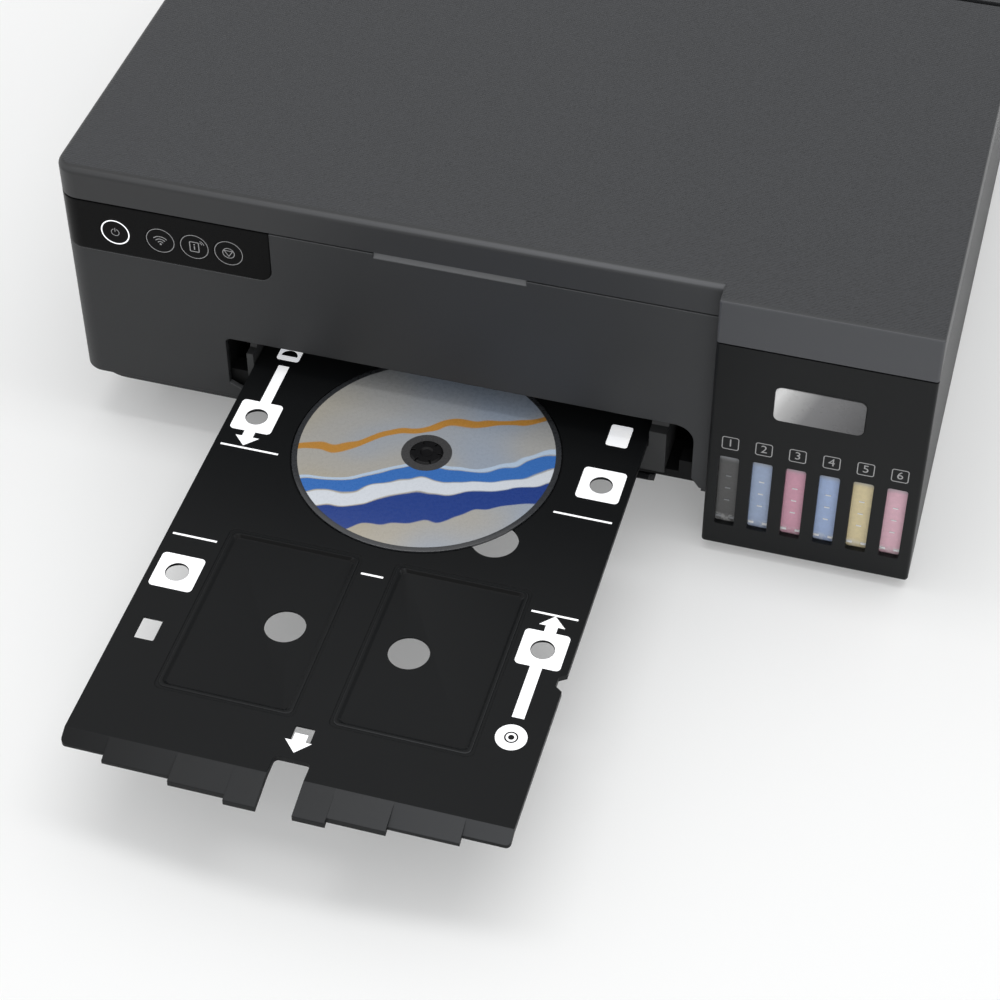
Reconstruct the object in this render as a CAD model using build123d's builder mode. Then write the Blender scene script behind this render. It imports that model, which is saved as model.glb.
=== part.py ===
from build123d import *
import os

os.makedirs("parts", exist_ok=True)

# overall sizes, in millimetres
body_width = 397.0
body_depth = 369.0            # tank front to back wall
body_height = 149.0
tray_reach = 225.4            # how far the disc tray stands out in front of the tank front
tank_unit_width = 94.0
tank_unit_step = 9.1          # the tank front stands this far in front of the main front
foot_height = 5.0
front_bottom = 28.6           # lower edge of the main front, above the undercut base
main_seam = body_height - 16.2    # lower edge of the cover over the main front
tank_seam = body_height - 22.8    # lower edge of the cover over the tank front
seam_gap = 0.8
wall = 2.5
cover_wall = 2.0
rib_thick = 1.4
rib_drop = 3.0                # stiffening ribs hang this far under the cover's skin
joint_gap = 0.1               # between fixed neighbours
corner_radius = 10.0
undercut = 21.0

# the frame: X to the right, Y into the machine, the bounding box centred on X and Y
right_x = body_width / 2
left_x = -right_x
tank_front_y = (tray_reach - body_depth) / 2
front_y = tank_front_y + tank_unit_step
back_y = tank_front_y + body_depth
tray_end_y = tank_front_y - tray_reach
tank_left_x = right_x - tank_unit_width

# opening, guides and disc tray
tray_top = 50.0
tray_thick = 2.8
tray_half_width = 93.2
disc_to_right = 215.9         # disc centre to the body's right side
disc_x = right_x - disc_to_right
tray_centre_x = disc_x - 0.4
tray_front_length = 202.0     # disc centre to the front tabs
tray_engagement = 51.6        # how far the tray's leading edge lies behind the tank front
tray_back_length = tray_reach - tray_front_length + tray_engagement
disc_y = tray_end_y + tray_front_length
disc_radius = 60.0
disc_thick = 1.2
disc_hole_radius = 7.5
disc_seat_depth = 0.9
seat_gap = 0.05
hub_hole_radius = 5.0         # hole in the tray that the hub is pressed into
card_width = 54.3
card_length = 85.9
card_offset_x = 37.4
card_offset_y = -112.4
card_depth = 0.8
lip_bend = 187.0              # disc centre to the bend of the front lip
tab_edges = (7.6, 21.0, 45.0, 74.0)
tab_reaches = (202.0, 199.5, 196.7, 193.0)
tab_drops = (4.4, 4.0, 3.6, 3.2)
lip_thick = 1.8
finger_notch_y = 196.0        # disc centre to the middle of the notch in the lip
finger_notch_length = 36.0
sensor_hole_radius = 5.0
disc_finger_radius = 10.4
card_finger_radius = 8.75
card_finger_x = 26.9
card_step = 0.25              # shallow step around each card seat
card_rim = 3.0
tray_left = tray_centre_x - tray_half_width
tray_right = tray_centre_x + tray_half_width
tray_bottom = tray_top - tray_thick
tray_travel_gap = 0.4         # beside the tray, under it and over the rollers

opening_left = disc_x - 106.2
opening_right = disc_x + 113.8
opening_top = 65.0
opening_radius = 9.0
mouth_flare = 4.6             # the opening widens this much at its lower right corner
step_back = 5.4               # how far the lower case's front is set back under the right guide
guide_widths = (3.3, 7.9)     # left and right of the tray
guide_face_top = 56.0
guide_back_top = 62.0
guide_lip = 6.0               # the guides reach this far under the tray
guide_bottom = 32.0
frame_ledge_z = (40.0, 60.0)  # ledges in the front panel that the exit frame screws to

# rollers, platen and carriage
roller_radius = 5.5
roller_shaft = 3.0
shaft_gap = 0.05
roller_axis_z = tray_bottom - tray_travel_gap - roller_radius
eject_y = front_y + 34.0
feed_y = front_y + 144.0
roller_left = disc_x - 103.7
roller_right = disc_x + 110.3
plate_left_x = disc_x - 109.7
plate_right_x = disc_x + 116.3
plate_thick = 1.5
print_y = front_y + 87.0
carriage_front_y = front_y + 62.0
carriage_depth = 70.0
carriage_width = 84.0
carriage_home_x = disc_x + 160.3
head_bottom = 52.4
carriage_top = 118.0
rail_y = carriage_front_y + carriage_depth + 6.0
rail_top = 112.0
rail_height = 40.0
rail_foot = 12.0
web_y = rail_y + 18.0
side_plate_x = right_x - 11.5
pulley_radius = 6.0
pulley_x = side_plate_x - 12.0
pulley_z = 100.0
belt_thick = 1.2
belt_width = 5.0
drive_pulley_radius = 5.2
motor_y = front_y + 88.0
motor_z = 22.0

floor_z = foot_height + wall
shelf_z = front_bottom - 5.0  # inside step over the undercut on the left
post_height = 4.0             # under the roller plates
side_plate_y = rail_y - 10.0
flange_width = 12.0
flange_length = 26.0
screw_x = side_plate_x - 7.0
screw_ys = (side_plate_y + 6.0, side_plate_y + 20.0)
screw_radius = 1.5
screw_head_radius = 2.8
screw_head_height = 1.6
screw_depth = 2.0

# cover, rear flap and paper path
hinge_y = front_y + 233.5
hinge_z = body_height - 4.7
hinge_arm_x = 160.0           # the two hinge arms sit this far from the middle
hinge_arm_half = 5.0
hinge_pin_reach = 9.0
ear_thick = 2.4
pin_radius = 1.2
knuckle_radius = 2.2
cover_back_y = hinge_y + 1.6
flap_front_y = hinge_y + 5.2
flap_length = 86.0
flap_half_width = 140.0
flap_back_y = flap_front_y + flap_length
flap_gap = 0.8
flap_back_gap = 4.6
flap_hinge_y = flap_back_y - 2.0
rear_front_y = flap_front_y
hopper_half_width = 112.0
hopper_top_y = flap_back_y - 8.0
hopper_top_z = body_height - 9.0
hopper_bottom_y = flap_front_y + 26.0
hopper_bottom_z = 62.0
pickup_radius = 14.0
pickup_y = hopper_bottom_y - 6.0
pickup_z = hopper_bottom_z + 22.0

# ink tanks and their front
tank_count = 6
tank_pitch = 14.86
tank_width = 13.6
first_tank_x = tank_left_x + 9.7
window_width = 9.0
window_bottom = 18.0
window_top = 60.5
window_radius = 1.2
tank_bottom = 7.6
tank_top = 110.0
tank_depth = 61.0
tank_wall = 1.2
neck_radius = 4.4
neck_height = 6.0
port_radius = 1.6
cap_radius = 6.4
cap_gap = 0.8
cap_height = 8.0
cap_arm = 11.0
badge_width = 39.0
badge_height = 19.0
badge_radius = 3.0
badge_centre_x = tank_left_x + 46.5
badge_centre_z = tank_seam - 28.6

# control panel
panel_right = disc_x - 80.5
panel_bottom = main_seam - 28.2
panel_radius = 6.0
key_z = main_seam - 15.9
key_xs = (disc_x - 154.2, disc_x - 132.6, disc_x - 116.4, disc_x - 100.2)
key_names = ("power_key", "network_key", "info_key", "stop_key")
key_radius = 6.8
power_key_radius = 6.1
ring_radius = 7.0
key_gap = 0.15
key_stem_half = 1.6
key_cap_depth = 3.0
key_stem_end = 6.6

# output tray
out_left = disc_x - 83.7
out_right = disc_x + 92.3
out_centre = (out_left + out_right) / 2
out_rail_offset = 66.0
out_plate_top = 26.4
out_plate = 2.0
out_front_y = front_y + 8.5
out_length = 168.0
out_gap = 0.4
out_rib_count = 5
out_rib_pitch = 30.0


def block(x_span, y_span, z_span, mode=Mode.ADD):
    with Locations((x_span[0], y_span[0], z_span[0])):
        Box(
            x_span[1] - x_span[0],
            y_span[1] - y_span[0],
            z_span[1] - z_span[0],
            align=(Align.MIN, Align.MIN, Align.MIN),
            mode=mode,
        )


def rod_x(x_span, y, z, radius, mode=Mode.ADD):
    with Locations(Location((x_span[0], y, z), (0, 90, 0))):
        Cylinder(radius, x_span[1] - x_span[0], align=(Align.CENTER, Align.CENTER, Align.MIN), mode=mode)


def rod_y(y_span, x, z, radius, mode=Mode.ADD):
    with Locations(Location((x, y_span[0], z), (-90, 0, 0))):
        Cylinder(radius, y_span[1] - y_span[0], align=(Align.CENTER, Align.CENTER, Align.MIN), mode=mode)


def rod_z(z_span, x, y, radius, mode=Mode.ADD):
    with Locations((x, y, z_span[0])):
        Cylinder(radius, z_span[1] - z_span[0], align=(Align.CENTER, Align.CENTER, Align.MIN), mode=mode)


# lower case
# a pan with an undercut front and left side, a slot in front for the output tray
slot_low = out_plate_top - out_plate - 4.4 - out_gap
with BuildPart() as lower_case:
    block((left_x, right_x - wall - joint_gap), (front_y + 1.0, back_y - joint_gap),
          (foot_height, front_bottom - 0.6))
    front_corner = lower_case.edges().filter_by(Axis.Z).sort_by_distance((left_x, front_y, foot_height))[0]
    fillet(front_corner, radius=undercut + 1.0)
    low_ring = lower_case.edges().group_by(Axis.Z)[0]
    chamfer(low_ring.sort_by_distance((left_x, front_y, foot_height))[0:3], length=undercut)
    block((tank_left_x + wall + joint_gap, right_x - wall - joint_gap),
          (tank_front_y + wall + joint_gap, front_y + 20.0), (foot_height, floor_z))
    block((tank_left_x, right_x), (front_y, front_y + 66.0), (floor_z, front_bottom), mode=Mode.SUBTRACT)
    block((left_x + undercut, tank_left_x), (front_y + undercut + 1.0, back_y - wall),
          (floor_z, front_bottom), mode=Mode.SUBTRACT)
    block((tank_left_x - 1.0, right_x - 2 * wall), (front_y + 60.0, back_y - wall),
          (floor_z, front_bottom), mode=Mode.SUBTRACT)
    step_x = out_right + out_gap
    wide_part = (left_x + undercut + wall, step_x, 0.0)
    set_back_part = (step_x, tank_left_x - wall, step_back)
    for start_x, end_x, setback in (wide_part, set_back_part):
        inner_y = front_y + 1.0 + wall + setback
        with BuildSketch(Plane.YZ.offset(start_x)):
            with BuildLine():
                Polyline(
                    (inner_y, front_bottom),
                    (inner_y, front_bottom - 1.0),
                    (inner_y + undercut - 1.0, floor_z),
                    (inner_y + undercut + 14.0, floor_z),
                    (inner_y + undercut + 14.0, front_bottom),
                    close=True,
                )
            make_face()
        extrude(amount=end_x - start_x, mode=Mode.SUBTRACT)
    # the front wall is set back beside the output tray, under the right guide
    with BuildSketch(Plane.YZ.offset(step_x)):
        with BuildLine():
            Polyline(
                (front_y, front_bottom),
                (front_y + 1.0 + step_back, front_bottom),
                (front_y + 1.0 + step_back, foot_height + undercut),
                (front_y + 1.0 + step_back + undercut, foot_height),
                (front_y, foot_height),
                close=True,
            )
        make_face()
    extrude(amount=opening_right + mouth_flare - step_x, mode=Mode.SUBTRACT)
    block((left_x + wall, left_x + undercut + 1.0), (front_y + 30.0, back_y - wall),
          (shelf_z, front_bottom), mode=Mode.SUBTRACT)
    # the slot that the output tray comes out of
    block((out_left - out_gap, out_right + out_gap), (front_y, front_y + undercut + 8.0),
          (slot_low, front_bottom), mode=Mode.SUBTRACT)
    # runners for the output tray
    for runner_x in (out_left - 4.0, out_right):
        block((runner_x, runner_x + 4.0), (front_y + undercut + 6.0, front_y + 190.0),
              (floor_z, out_plate_top - out_plate - out_gap))
    # posts under the roller plates and the tank unit
    for post_x in (plate_left_x - 6.0, plate_right_x - 1.0):
        for post_y in (eject_y - 8.0, feed_y - 6.0):
            block((post_x, post_x + 9.0), (post_y, post_y + 12.0), (floor_z, floor_z + post_height))
    # screw holes for the chassis
    for side in (-1, 1):
        base_z = floor_z if side > 0 else shelf_z
        for screw_y in screw_ys:
            rod_z((base_z - screw_depth, base_z + 1.0), side * screw_x, screw_y, screw_radius,
                  mode=Mode.SUBTRACT)
    # ribs across the open floor at the back
    for rib_x in (-60.0, 0.0, 60.0):
        block((rib_x, rib_x + 1.6), (front_y + 200.0, back_y - wall), (floor_z, floor_z + 2.0))
lower_case.part.label = "lower_case"
export_step(lower_case.part, "parts/lower_case.step")

foot_radius = 8.0
foot_left = left_x + undercut + 2 * foot_radius
foot_right = right_x - 3 * foot_radius
foot_back = back_y - 30.0
foot_places = (
    (foot_left, front_y + undercut + 20.0),
    (foot_left, foot_back),
    (foot_right, tank_front_y + 20.0),
    (foot_right, foot_back),
    (0.0, front_y + 170.0),
)
with BuildPart() as feet:
    with BuildSketch(Plane.XY):
        with Locations(*foot_places):
            Circle(foot_radius)
    extrude(amount=foot_height)
feet.part.label = "rubber_feet"
export_step(feet.part, "parts/rubber_feet.step")

# front panel
# one moulding with a rounded left corner, the tray opening and the finger scoop under the cover
panel_top = main_seam - seam_gap
with BuildPart() as front_panel:
    with BuildSketch(Plane.XY.offset(front_bottom)):
        with BuildLine():
            Polyline(
                (tank_left_x - 0.2, front_y),
                (left_x, front_y),
                (left_x, front_y + 20.0),
                (left_x + wall, front_y + 20.0),
                (left_x + wall, front_y + wall),
                (tank_left_x - 0.2, front_y + wall),
                close=True,
            )
        outline = make_face()
        fillet(outline.vertices().sort_by_distance((left_x, front_y, 0))[0], radius=corner_radius)
    extrude(amount=panel_top - front_bottom)
    inner_corner = front_panel.edges().filter_by(Axis.Z).sort_by_distance(
        (left_x + wall, front_y + wall, panel_top))[0]
    fillet(inner_corner, radius=corner_radius - wall)
    with BuildSketch(Plane.XZ.offset(-front_y + 1.0)) as mouth:
        with BuildLine():
            Polyline(
                (opening_left, opening_top),
                (opening_right, opening_top),
                (opening_right, guide_bottom + 2.0),
                (opening_right + mouth_flare, front_bottom - 1.0),
                (opening_left + 8.0, front_bottom - 1.0),
                (opening_left + 7.0, guide_bottom + 1.5),
                (opening_left, guide_bottom + 5.0),
                close=True,
            )
        make_face()
        top_points = mouth.vertices().group_by(Axis.Y)[-1].sort_by(Axis.X)
        fillet(top_points[-1], radius=opening_radius)
        top_points = mouth.vertices().group_by(Axis.Y)[-1].sort_by(Axis.X)
        fillet(top_points[0], radius=opening_radius / 3)
    extrude(amount=-(wall + 2.0), mode=Mode.SUBTRACT)
    # the opening for the control panel, out to the rounded corner
    with BuildSketch(Plane.XZ.offset(-front_y + 1.0)):
        with BuildLine():
            Polyline(
                (left_x - 1.0, panel_bottom - 0.1),
                (panel_right + 0.1, panel_bottom - 0.1),
                (panel_right + 0.1, panel_top + 1.0),
                (left_x - 1.0, panel_top + 1.0),
                close=True,
            )
        pocket = make_face()
        fillet(pocket.vertices().sort_by_distance((panel_right, panel_bottom, 0))[0],
               radius=panel_radius + 0.1)
    extrude(amount=-(corner_radius + 3.0), mode=Mode.SUBTRACT)
    # the finger scoop, a sloped strip along the top edge
    scoop_half = 34.5
    scoop_x = disc_x + 2.1
    with BuildSketch(Plane.YZ.offset(scoop_x - scoop_half)):
        with BuildLine():
            Polyline(
                (front_y - 0.5, panel_top - 3.2),
                (front_y + wall - 0.7, panel_top + 0.1),
                (front_y - 0.5, panel_top + 0.1),
                close=True,
            )
        make_face()
    extrude(amount=2 * scoop_half, mode=Mode.SUBTRACT)
    # ledges inside that the exit frame screws to
    for ledge_x in (opening_left - 12.0, opening_right + 2.0):
        block((ledge_x, ledge_x + 6.0), (front_y + wall, front_y + 9.0), frame_ledge_z)
front_panel.part.label = "front_panel"
export_step(front_panel.part, "parts/front_panel.step")

# side covers
side_rib_depth = 3.0
side_rib_thick = 2.0
side_rib_pitch = 60.0
side_cover_back = rear_front_y - 0.2
with BuildPart() as left_side_cover:
    block((left_x, left_x + wall), (front_y + 20.2, side_cover_back), (front_bottom, panel_top))
    for number in range(1, 4):
        rib_y = front_y + number * side_rib_pitch
        block((left_x + wall, left_x + wall + side_rib_depth), (rib_y, rib_y + side_rib_thick),
              (front_bottom + 4.0, panel_top - 6.0))
left_side_cover.part.label = "left_side_cover"
export_step(left_side_cover.part, "parts/left_side_cover.step")

tank_cover_top = tank_seam - seam_gap
with BuildPart() as right_side_cover:
    block((right_x - wall, right_x), (tank_front_y + wall + joint_gap, side_cover_back),
          (foot_height, tank_cover_top))
    for number in range(1, 4):
        rib_y = front_y + 10.0 + number * side_rib_pitch
        block((right_x - wall - side_rib_depth, right_x - wall), (rib_y, rib_y + side_rib_thick),
              (front_bottom + 4.0, tank_cover_top - 6.0))
right_side_cover.part.label = "right_side_cover"
export_step(right_side_cover.part, "parts/right_side_cover.step")

# rear cover
inlet_x = -152.0
inlet_z = 44.0
inlet_half_width = 12.0
inlet_half_height = 8.0
air_slot_count = 9
air_slot_pitch = 8.0
air_slot_width = 3.0
first_air_slot_x = 40.0
air_slot_span = (body_height - 53.0, body_height - 29.0)
with BuildPart() as rear_cover:
    with BuildSketch(Plane.XY.offset(foot_height)):
        with BuildLine():
            Polyline(
                (left_x, rear_front_y),
                (right_x, rear_front_y),
                (right_x, back_y),
                (left_x, back_y),
                close=True,
            )
        footprint = make_face()
        fillet(footprint.vertices().sort_by(Axis.Y)[-2:], radius=corner_radius)
    extrude(amount=body_height - foot_height)
    top_ring = rear_cover.edges().group_by(Axis.Z)[-1]
    fillet(top_ring.filter_by(lambda edge: edge.center().Y > rear_front_y + 1.0), radius=1.5)
    with BuildSketch(Plane.XY.offset(foot_height)):
        with BuildLine():
            Polyline(
                (left_x + wall, rear_front_y - 1.0),
                (right_x - wall, rear_front_y - 1.0),
                (right_x - wall, back_y - wall),
                (left_x + wall, back_y - wall),
                close=True,
            )
        hollow = make_face()
        fillet(hollow.vertices().sort_by(Axis.Y)[-2:], radius=corner_radius - wall)
    extrude(amount=body_height - foot_height - wall, mode=Mode.SUBTRACT)
    block((left_x - 1.0, right_x - wall), (rear_front_y - 1.0, back_y + 1.0),
          (foot_height - 1.0, front_bottom), mode=Mode.SUBTRACT)
    # the well under the rear flap
    block((-flap_half_width - flap_gap, flap_half_width + flap_gap),
          (rear_front_y - 1.0, flap_back_y + flap_back_gap),
          (body_height - 20.0, body_height + 1.0), mode=Mode.SUBTRACT)
    # ears for the flap's pins
    for side in (-1, 1):
        ear_x = side * (flap_half_width + flap_gap + 1.5)
        block((ear_x - 1.5, ear_x + 1.5), (flap_hinge_y - 4.0, flap_hinge_y + 4.0),
              (hinge_z - 3.5, body_height - 1.0))
        rod_x((ear_x - 2.0, ear_x + 2.0), flap_hinge_y, hinge_z, pin_radius + shaft_gap,
              mode=Mode.SUBTRACT)
    # power inlet hole and air slots
    with BuildSketch(Plane.XZ.offset(-back_y + wall + 1.0)):
        with Locations((inlet_x, inlet_z)):
            Rectangle(2 * (inlet_half_width + joint_gap), 2 * (inlet_half_height + joint_gap))
        slots_x = first_air_slot_x + (air_slot_count - 1) * air_slot_pitch / 2
        with Locations((slots_x, sum(air_slot_span) / 2)):
            with GridLocations(air_slot_pitch, 1.0, air_slot_count, 1):
                SlotOverall(air_slot_span[1] - air_slot_span[0], air_slot_width, rotation=90)
    extrude(amount=-(wall + 2.0), mode=Mode.SUBTRACT)
rear_cover.part.label = "rear_cover"
export_step(rear_cover.part, "parts/rear_cover.step")

# tank front
with BuildPart() as tank_front_cover:
    with BuildSketch(Plane.XY.offset(foot_height)):
        with BuildLine():
            Polyline(
                (tank_left_x, tank_front_y),
                (right_x, tank_front_y),
                (right_x, tank_front_y + wall),
                (tank_left_x + wall, tank_front_y + wall),
                (tank_left_x + wall, front_y + wall + 6.0),
                (tank_left_x, front_y + wall + 6.0),
                close=True,
            )
        make_face()
    extrude(amount=tank_cover_top - foot_height)
    upright = tank_front_cover.edges().filter_by(Axis.Z)
    fillet(upright.sort_by_distance((tank_left_x, tank_front_y, 60.0))[0], radius=1.6)
    upright = tank_front_cover.edges().filter_by(Axis.Z)
    fillet(upright.sort_by_distance((right_x, tank_front_y, 60.0))[0], radius=1.6)
    low_front = tank_front_cover.edges().filter_by(Axis.X).group_by(Axis.Z)[0].sort_by(Axis.Y)[0]
    fillet(low_front, radius=1.2)
    with BuildSketch(Plane.XZ.offset(-tank_front_y + 1.0)):
        middle_x = first_tank_x + (tank_count - 1) * tank_pitch / 2
        with Locations((middle_x, (window_bottom + window_top) / 2)):
            with GridLocations(tank_pitch, 1.0, tank_count, 1):
                RectangleRounded(window_width, window_top - window_bottom, window_radius)
    extrude(amount=-(wall + 2.0), mode=Mode.SUBTRACT)
    with BuildSketch(Plane.XZ.offset(-tank_front_y + 1.0)):
        with Locations((badge_centre_x, badge_centre_z)):
            RectangleRounded(badge_width + 0.4, badge_height + 0.4, badge_radius + 0.2)
    extrude(amount=-2.0, mode=Mode.SUBTRACT)
tank_front_cover.part.label = "tank_front_cover"
export_step(tank_front_cover.part, "parts/tank_front_cover.step")

with BuildPart() as badge_plate:
    with BuildSketch(Plane.XZ.offset(-tank_front_y - 1.0)):
        with Locations((badge_centre_x, badge_centre_z)):
            RectangleRounded(badge_width, badge_height, badge_radius)
    extrude(amount=1.5)
    chamfer(badge_plate.faces().sort_by(Axis.Y)[0].edges(), length=0.3)
badge_plate.part.label = "badge_plate"
export_step(badge_plate.part, "parts/badge_plate.step")

# control panel and keys
with BuildPart() as control_panel:
    with BuildSketch(Plane.XY.offset(panel_bottom)):
        with BuildLine():
            Polyline(
                (panel_right, front_y),
                (left_x, front_y),
                (left_x, front_y + corner_radius + 1.8),
                (left_x + wall, front_y + corner_radius + 1.8),
                (left_x + wall, front_y + wall),
                (panel_right, front_y + wall),
                close=True,
            )
        band = make_face()
        fillet(band.vertices().sort_by_distance((left_x, front_y, 0))[0], radius=corner_radius)
    extrude(amount=panel_top - panel_bottom)
    fillet(control_panel.edges().filter_by(Axis.Z).sort_by_distance(
        (left_x + wall, front_y + wall, panel_top))[0], radius=corner_radius - wall)
    fillet(control_panel.edges().filter_by(Axis.Y).sort_by_distance(
        (panel_right, front_y, panel_bottom))[0], radius=panel_radius)
    for number, key_x in enumerate(key_xs):
        hole = ring_radius if number == 0 else key_radius
        rod_y((front_y - 1.0, front_y + wall + 1.0), key_x, key_z, hole + key_gap, mode=Mode.SUBTRACT)
control_panel.part.label = "control_panel"
export_step(control_panel.part, "parts/control_panel.step")

for number, key_x in enumerate(key_xs):
    face_radius = power_key_radius if number == 0 else key_radius
    with BuildPart() as key:
        rod_y((front_y, front_y + key_cap_depth), key_x, key_z, face_radius)
        block((key_x - key_stem_half, key_x + key_stem_half),
              (front_y + key_cap_depth, front_y + key_stem_end),
              (key_z - key_stem_half, key_z + key_stem_half))
    key.part.label = key_names[number]
    export_step(key.part, "parts/" + key_names[number] + ".step")

with BuildPart() as power_light_ring:
    rod_y((front_y, front_y + 6.0), key_xs[0], key_z, ring_radius)
    rod_y((front_y - 1.0, front_y + 7.0), key_xs[0], key_z, power_key_radius + key_gap, mode=Mode.SUBTRACT)
power_light_ring.part.label = "power_light_ring"
export_step(power_light_ring.part, "parts/power_light_ring.step")

# top cover
with BuildPart() as top_cover:
    with BuildSketch(Plane.XY.offset(main_seam)):
        with BuildLine():
            Polyline(
                (left_x, front_y),
                (tank_left_x, front_y),
                (tank_left_x, tank_front_y),
                (right_x, tank_front_y),
                (right_x, cover_back_y),
                (left_x, cover_back_y),
                close=True,
            )
        lid = make_face()
        fillet(lid.vertices().sort_by_distance((left_x, front_y, 0))[0], radius=corner_radius)
    extrude(amount=body_height - main_seam)
    block((tank_left_x, right_x), (tank_front_y, cover_back_y), (tank_seam, main_seam))
    corner_edges = top_cover.edges().filter_by(Axis.Z)
    fillet(corner_edges.sort_by_distance((right_x, tank_front_y, body_height))[0], radius=1.6)
    corner_edges = top_cover.edges().filter_by(Axis.Z)
    fillet(corner_edges.sort_by_distance((tank_left_x, tank_front_y, body_height))[0], radius=1.2)
    # the rim is soft over the main front and crisp over the tank front
    rim = top_cover.edges().group_by(Axis.Z)[-1].filter_by(lambda edge: edge.center().Y < cover_back_y - 1.0)
    fillet(rim.filter_by(lambda edge: edge.center().X < tank_left_x - 1.0), radius=3.0)
    rim = top_cover.edges().group_by(Axis.Z)[-1].filter_by(lambda edge: edge.center().Y < cover_back_y - 1.0)
    fillet(rim.filter_by(lambda edge: edge.center().X > tank_left_x + 0.5), radius=1.0)
    with BuildSketch(Plane.XY.offset(tank_seam - 1.0)):
        with BuildLine():
            Polyline(
                (left_x + cover_wall, front_y + cover_wall),
                (tank_left_x + cover_wall, front_y + cover_wall),
                (tank_left_x + cover_wall, tank_front_y + cover_wall),
                (right_x - cover_wall, tank_front_y + cover_wall),
                (right_x - cover_wall, cover_back_y + 1.0),
                (left_x + cover_wall, cover_back_y + 1.0),
                close=True,
            )
        cavity = make_face()
        fillet(cavity.vertices().sort_by_distance((left_x + cover_wall, front_y + cover_wall, 0))[0],
               radius=corner_radius - cover_wall)
    extrude(amount=body_height - cover_wall - tank_seam + 1.0, mode=Mode.SUBTRACT)
    # stiffening ribs under the skin
    skin_under = body_height - cover_wall
    for rib_x in (-150.0, -90.0, -30.0, 30.0, 90.0):
        block((rib_x, rib_x + rib_thick), (front_y + cover_wall, hinge_y - 24.0),
              (skin_under - rib_drop, skin_under))
    for rib_y in (front_y + 60.0, front_y + 130.0):
        block((left_x + cover_wall, right_x - cover_wall), (rib_y, rib_y + rib_thick),
              (skin_under - rib_drop, skin_under))
    # hinge arms with their pins, one near each end
    for arm_x in (-hinge_arm_x, hinge_arm_x):
        arm = (arm_x - hinge_arm_half, arm_x + hinge_arm_half)
        block(arm, (hinge_y - 12.0, hinge_y), (hinge_z, skin_under))
        rod_x(arm, hinge_y, hinge_z, knuckle_radius)
        rod_x((arm_x - hinge_pin_reach, arm_x + hinge_pin_reach), hinge_y, hinge_z, pin_radius)
top_cover.part.label = "top_cover"
export_step(top_cover.part, "parts/top_cover.step")

# brackets that carry the cover's pins, screwed to the side walls of the rear deck
deck_top = hinge_z - 9.0
deck_thick = 2.0
deck_apron = 30.0
deck_y = (hinge_y - 10.0, flap_front_y + 20.0)
deck_left = left_x + wall + joint_gap
deck_right = right_x - wall - joint_gap
with BuildPart() as rear_deck:
    with BuildSketch(Plane.XZ.offset(-deck_y[0])):
        with BuildLine():
            Polyline(
                (deck_left, deck_top - deck_apron),
                (deck_left, deck_top),
                (deck_right, deck_top),
                (deck_right, deck_top - deck_apron),
                (deck_right - deck_thick, deck_top - deck_apron),
                (deck_right - deck_thick, deck_top - deck_thick),
                (deck_left + deck_thick, deck_top - deck_thick),
                (deck_left + deck_thick, deck_top - deck_apron),
                close=True,
            )
        make_face()
    extrude(amount=-(deck_y[1] - deck_y[0]))
    for arm_x in (-hinge_arm_x, hinge_arm_x):
        for arm_side in (-1, 1):
            ear_x = arm_x + arm_side * (hinge_arm_half + 1.0 + ear_thick / 2)
            with BuildSketch(Plane.YZ.offset(ear_x - ear_thick / 2)):
                with Locations((hinge_y, hinge_z)):
                    Circle(knuckle_radius)
                with Locations((hinge_y, (deck_top + hinge_z) / 2)):
                    Rectangle(2 * knuckle_radius, hinge_z - deck_top)
                with Locations((hinge_y, hinge_z)):
                    Circle(pin_radius + shaft_gap, mode=Mode.SUBTRACT)
            extrude(amount=ear_thick)
rear_deck.part.label = "rear_deck"
export_step(rear_deck.part, "parts/rear_deck.step")

# rear flap, which is the paper support
with BuildPart() as paper_support:
    with BuildSketch(Plane.XY.offset(body_height - wall)):
        with BuildLine():
            Polyline(
                (-flap_half_width, flap_front_y),
                (flap_half_width, flap_front_y),
                (flap_half_width, flap_back_y),
                (-flap_half_width, flap_back_y),
                close=True,
            )
        flap = make_face()
        fillet(flap.vertices(), radius=2.0)
    extrude(amount=wall)
    chamfer(paper_support.faces().sort_by(Axis.Z)[-1].edges(), length=0.5)
    for rib_x in (-120.0, -66.0, 66.0 - rib_thick, 120.0 - rib_thick):
        block((rib_x, rib_x + rib_thick), (flap_front_y + 6.0, flap_hinge_y - 8.0),
              (body_height - wall - 4.0, body_height - wall))
    flap_arm = 8.0
    flap_knuckle = knuckle_radius - 0.2
    flap_pin_reach = flap_half_width + 3.4
    for arm_x in (-flap_half_width, flap_half_width - flap_arm):
        arm = (arm_x, arm_x + flap_arm)
        rod_x(arm, flap_hinge_y, hinge_z, flap_knuckle)
        block(arm, (flap_hinge_y - flap_knuckle, flap_hinge_y + flap_knuckle), (hinge_z, body_height - wall))
    rod_x((-flap_pin_reach, -flap_half_width), flap_hinge_y, hinge_z, pin_radius)
    rod_x((flap_half_width, flap_pin_reach), flap_hinge_y, hinge_z, pin_radius)
paper_support.part.label = "paper_support"
export_step(paper_support.part, "parts/paper_support.step")

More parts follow.
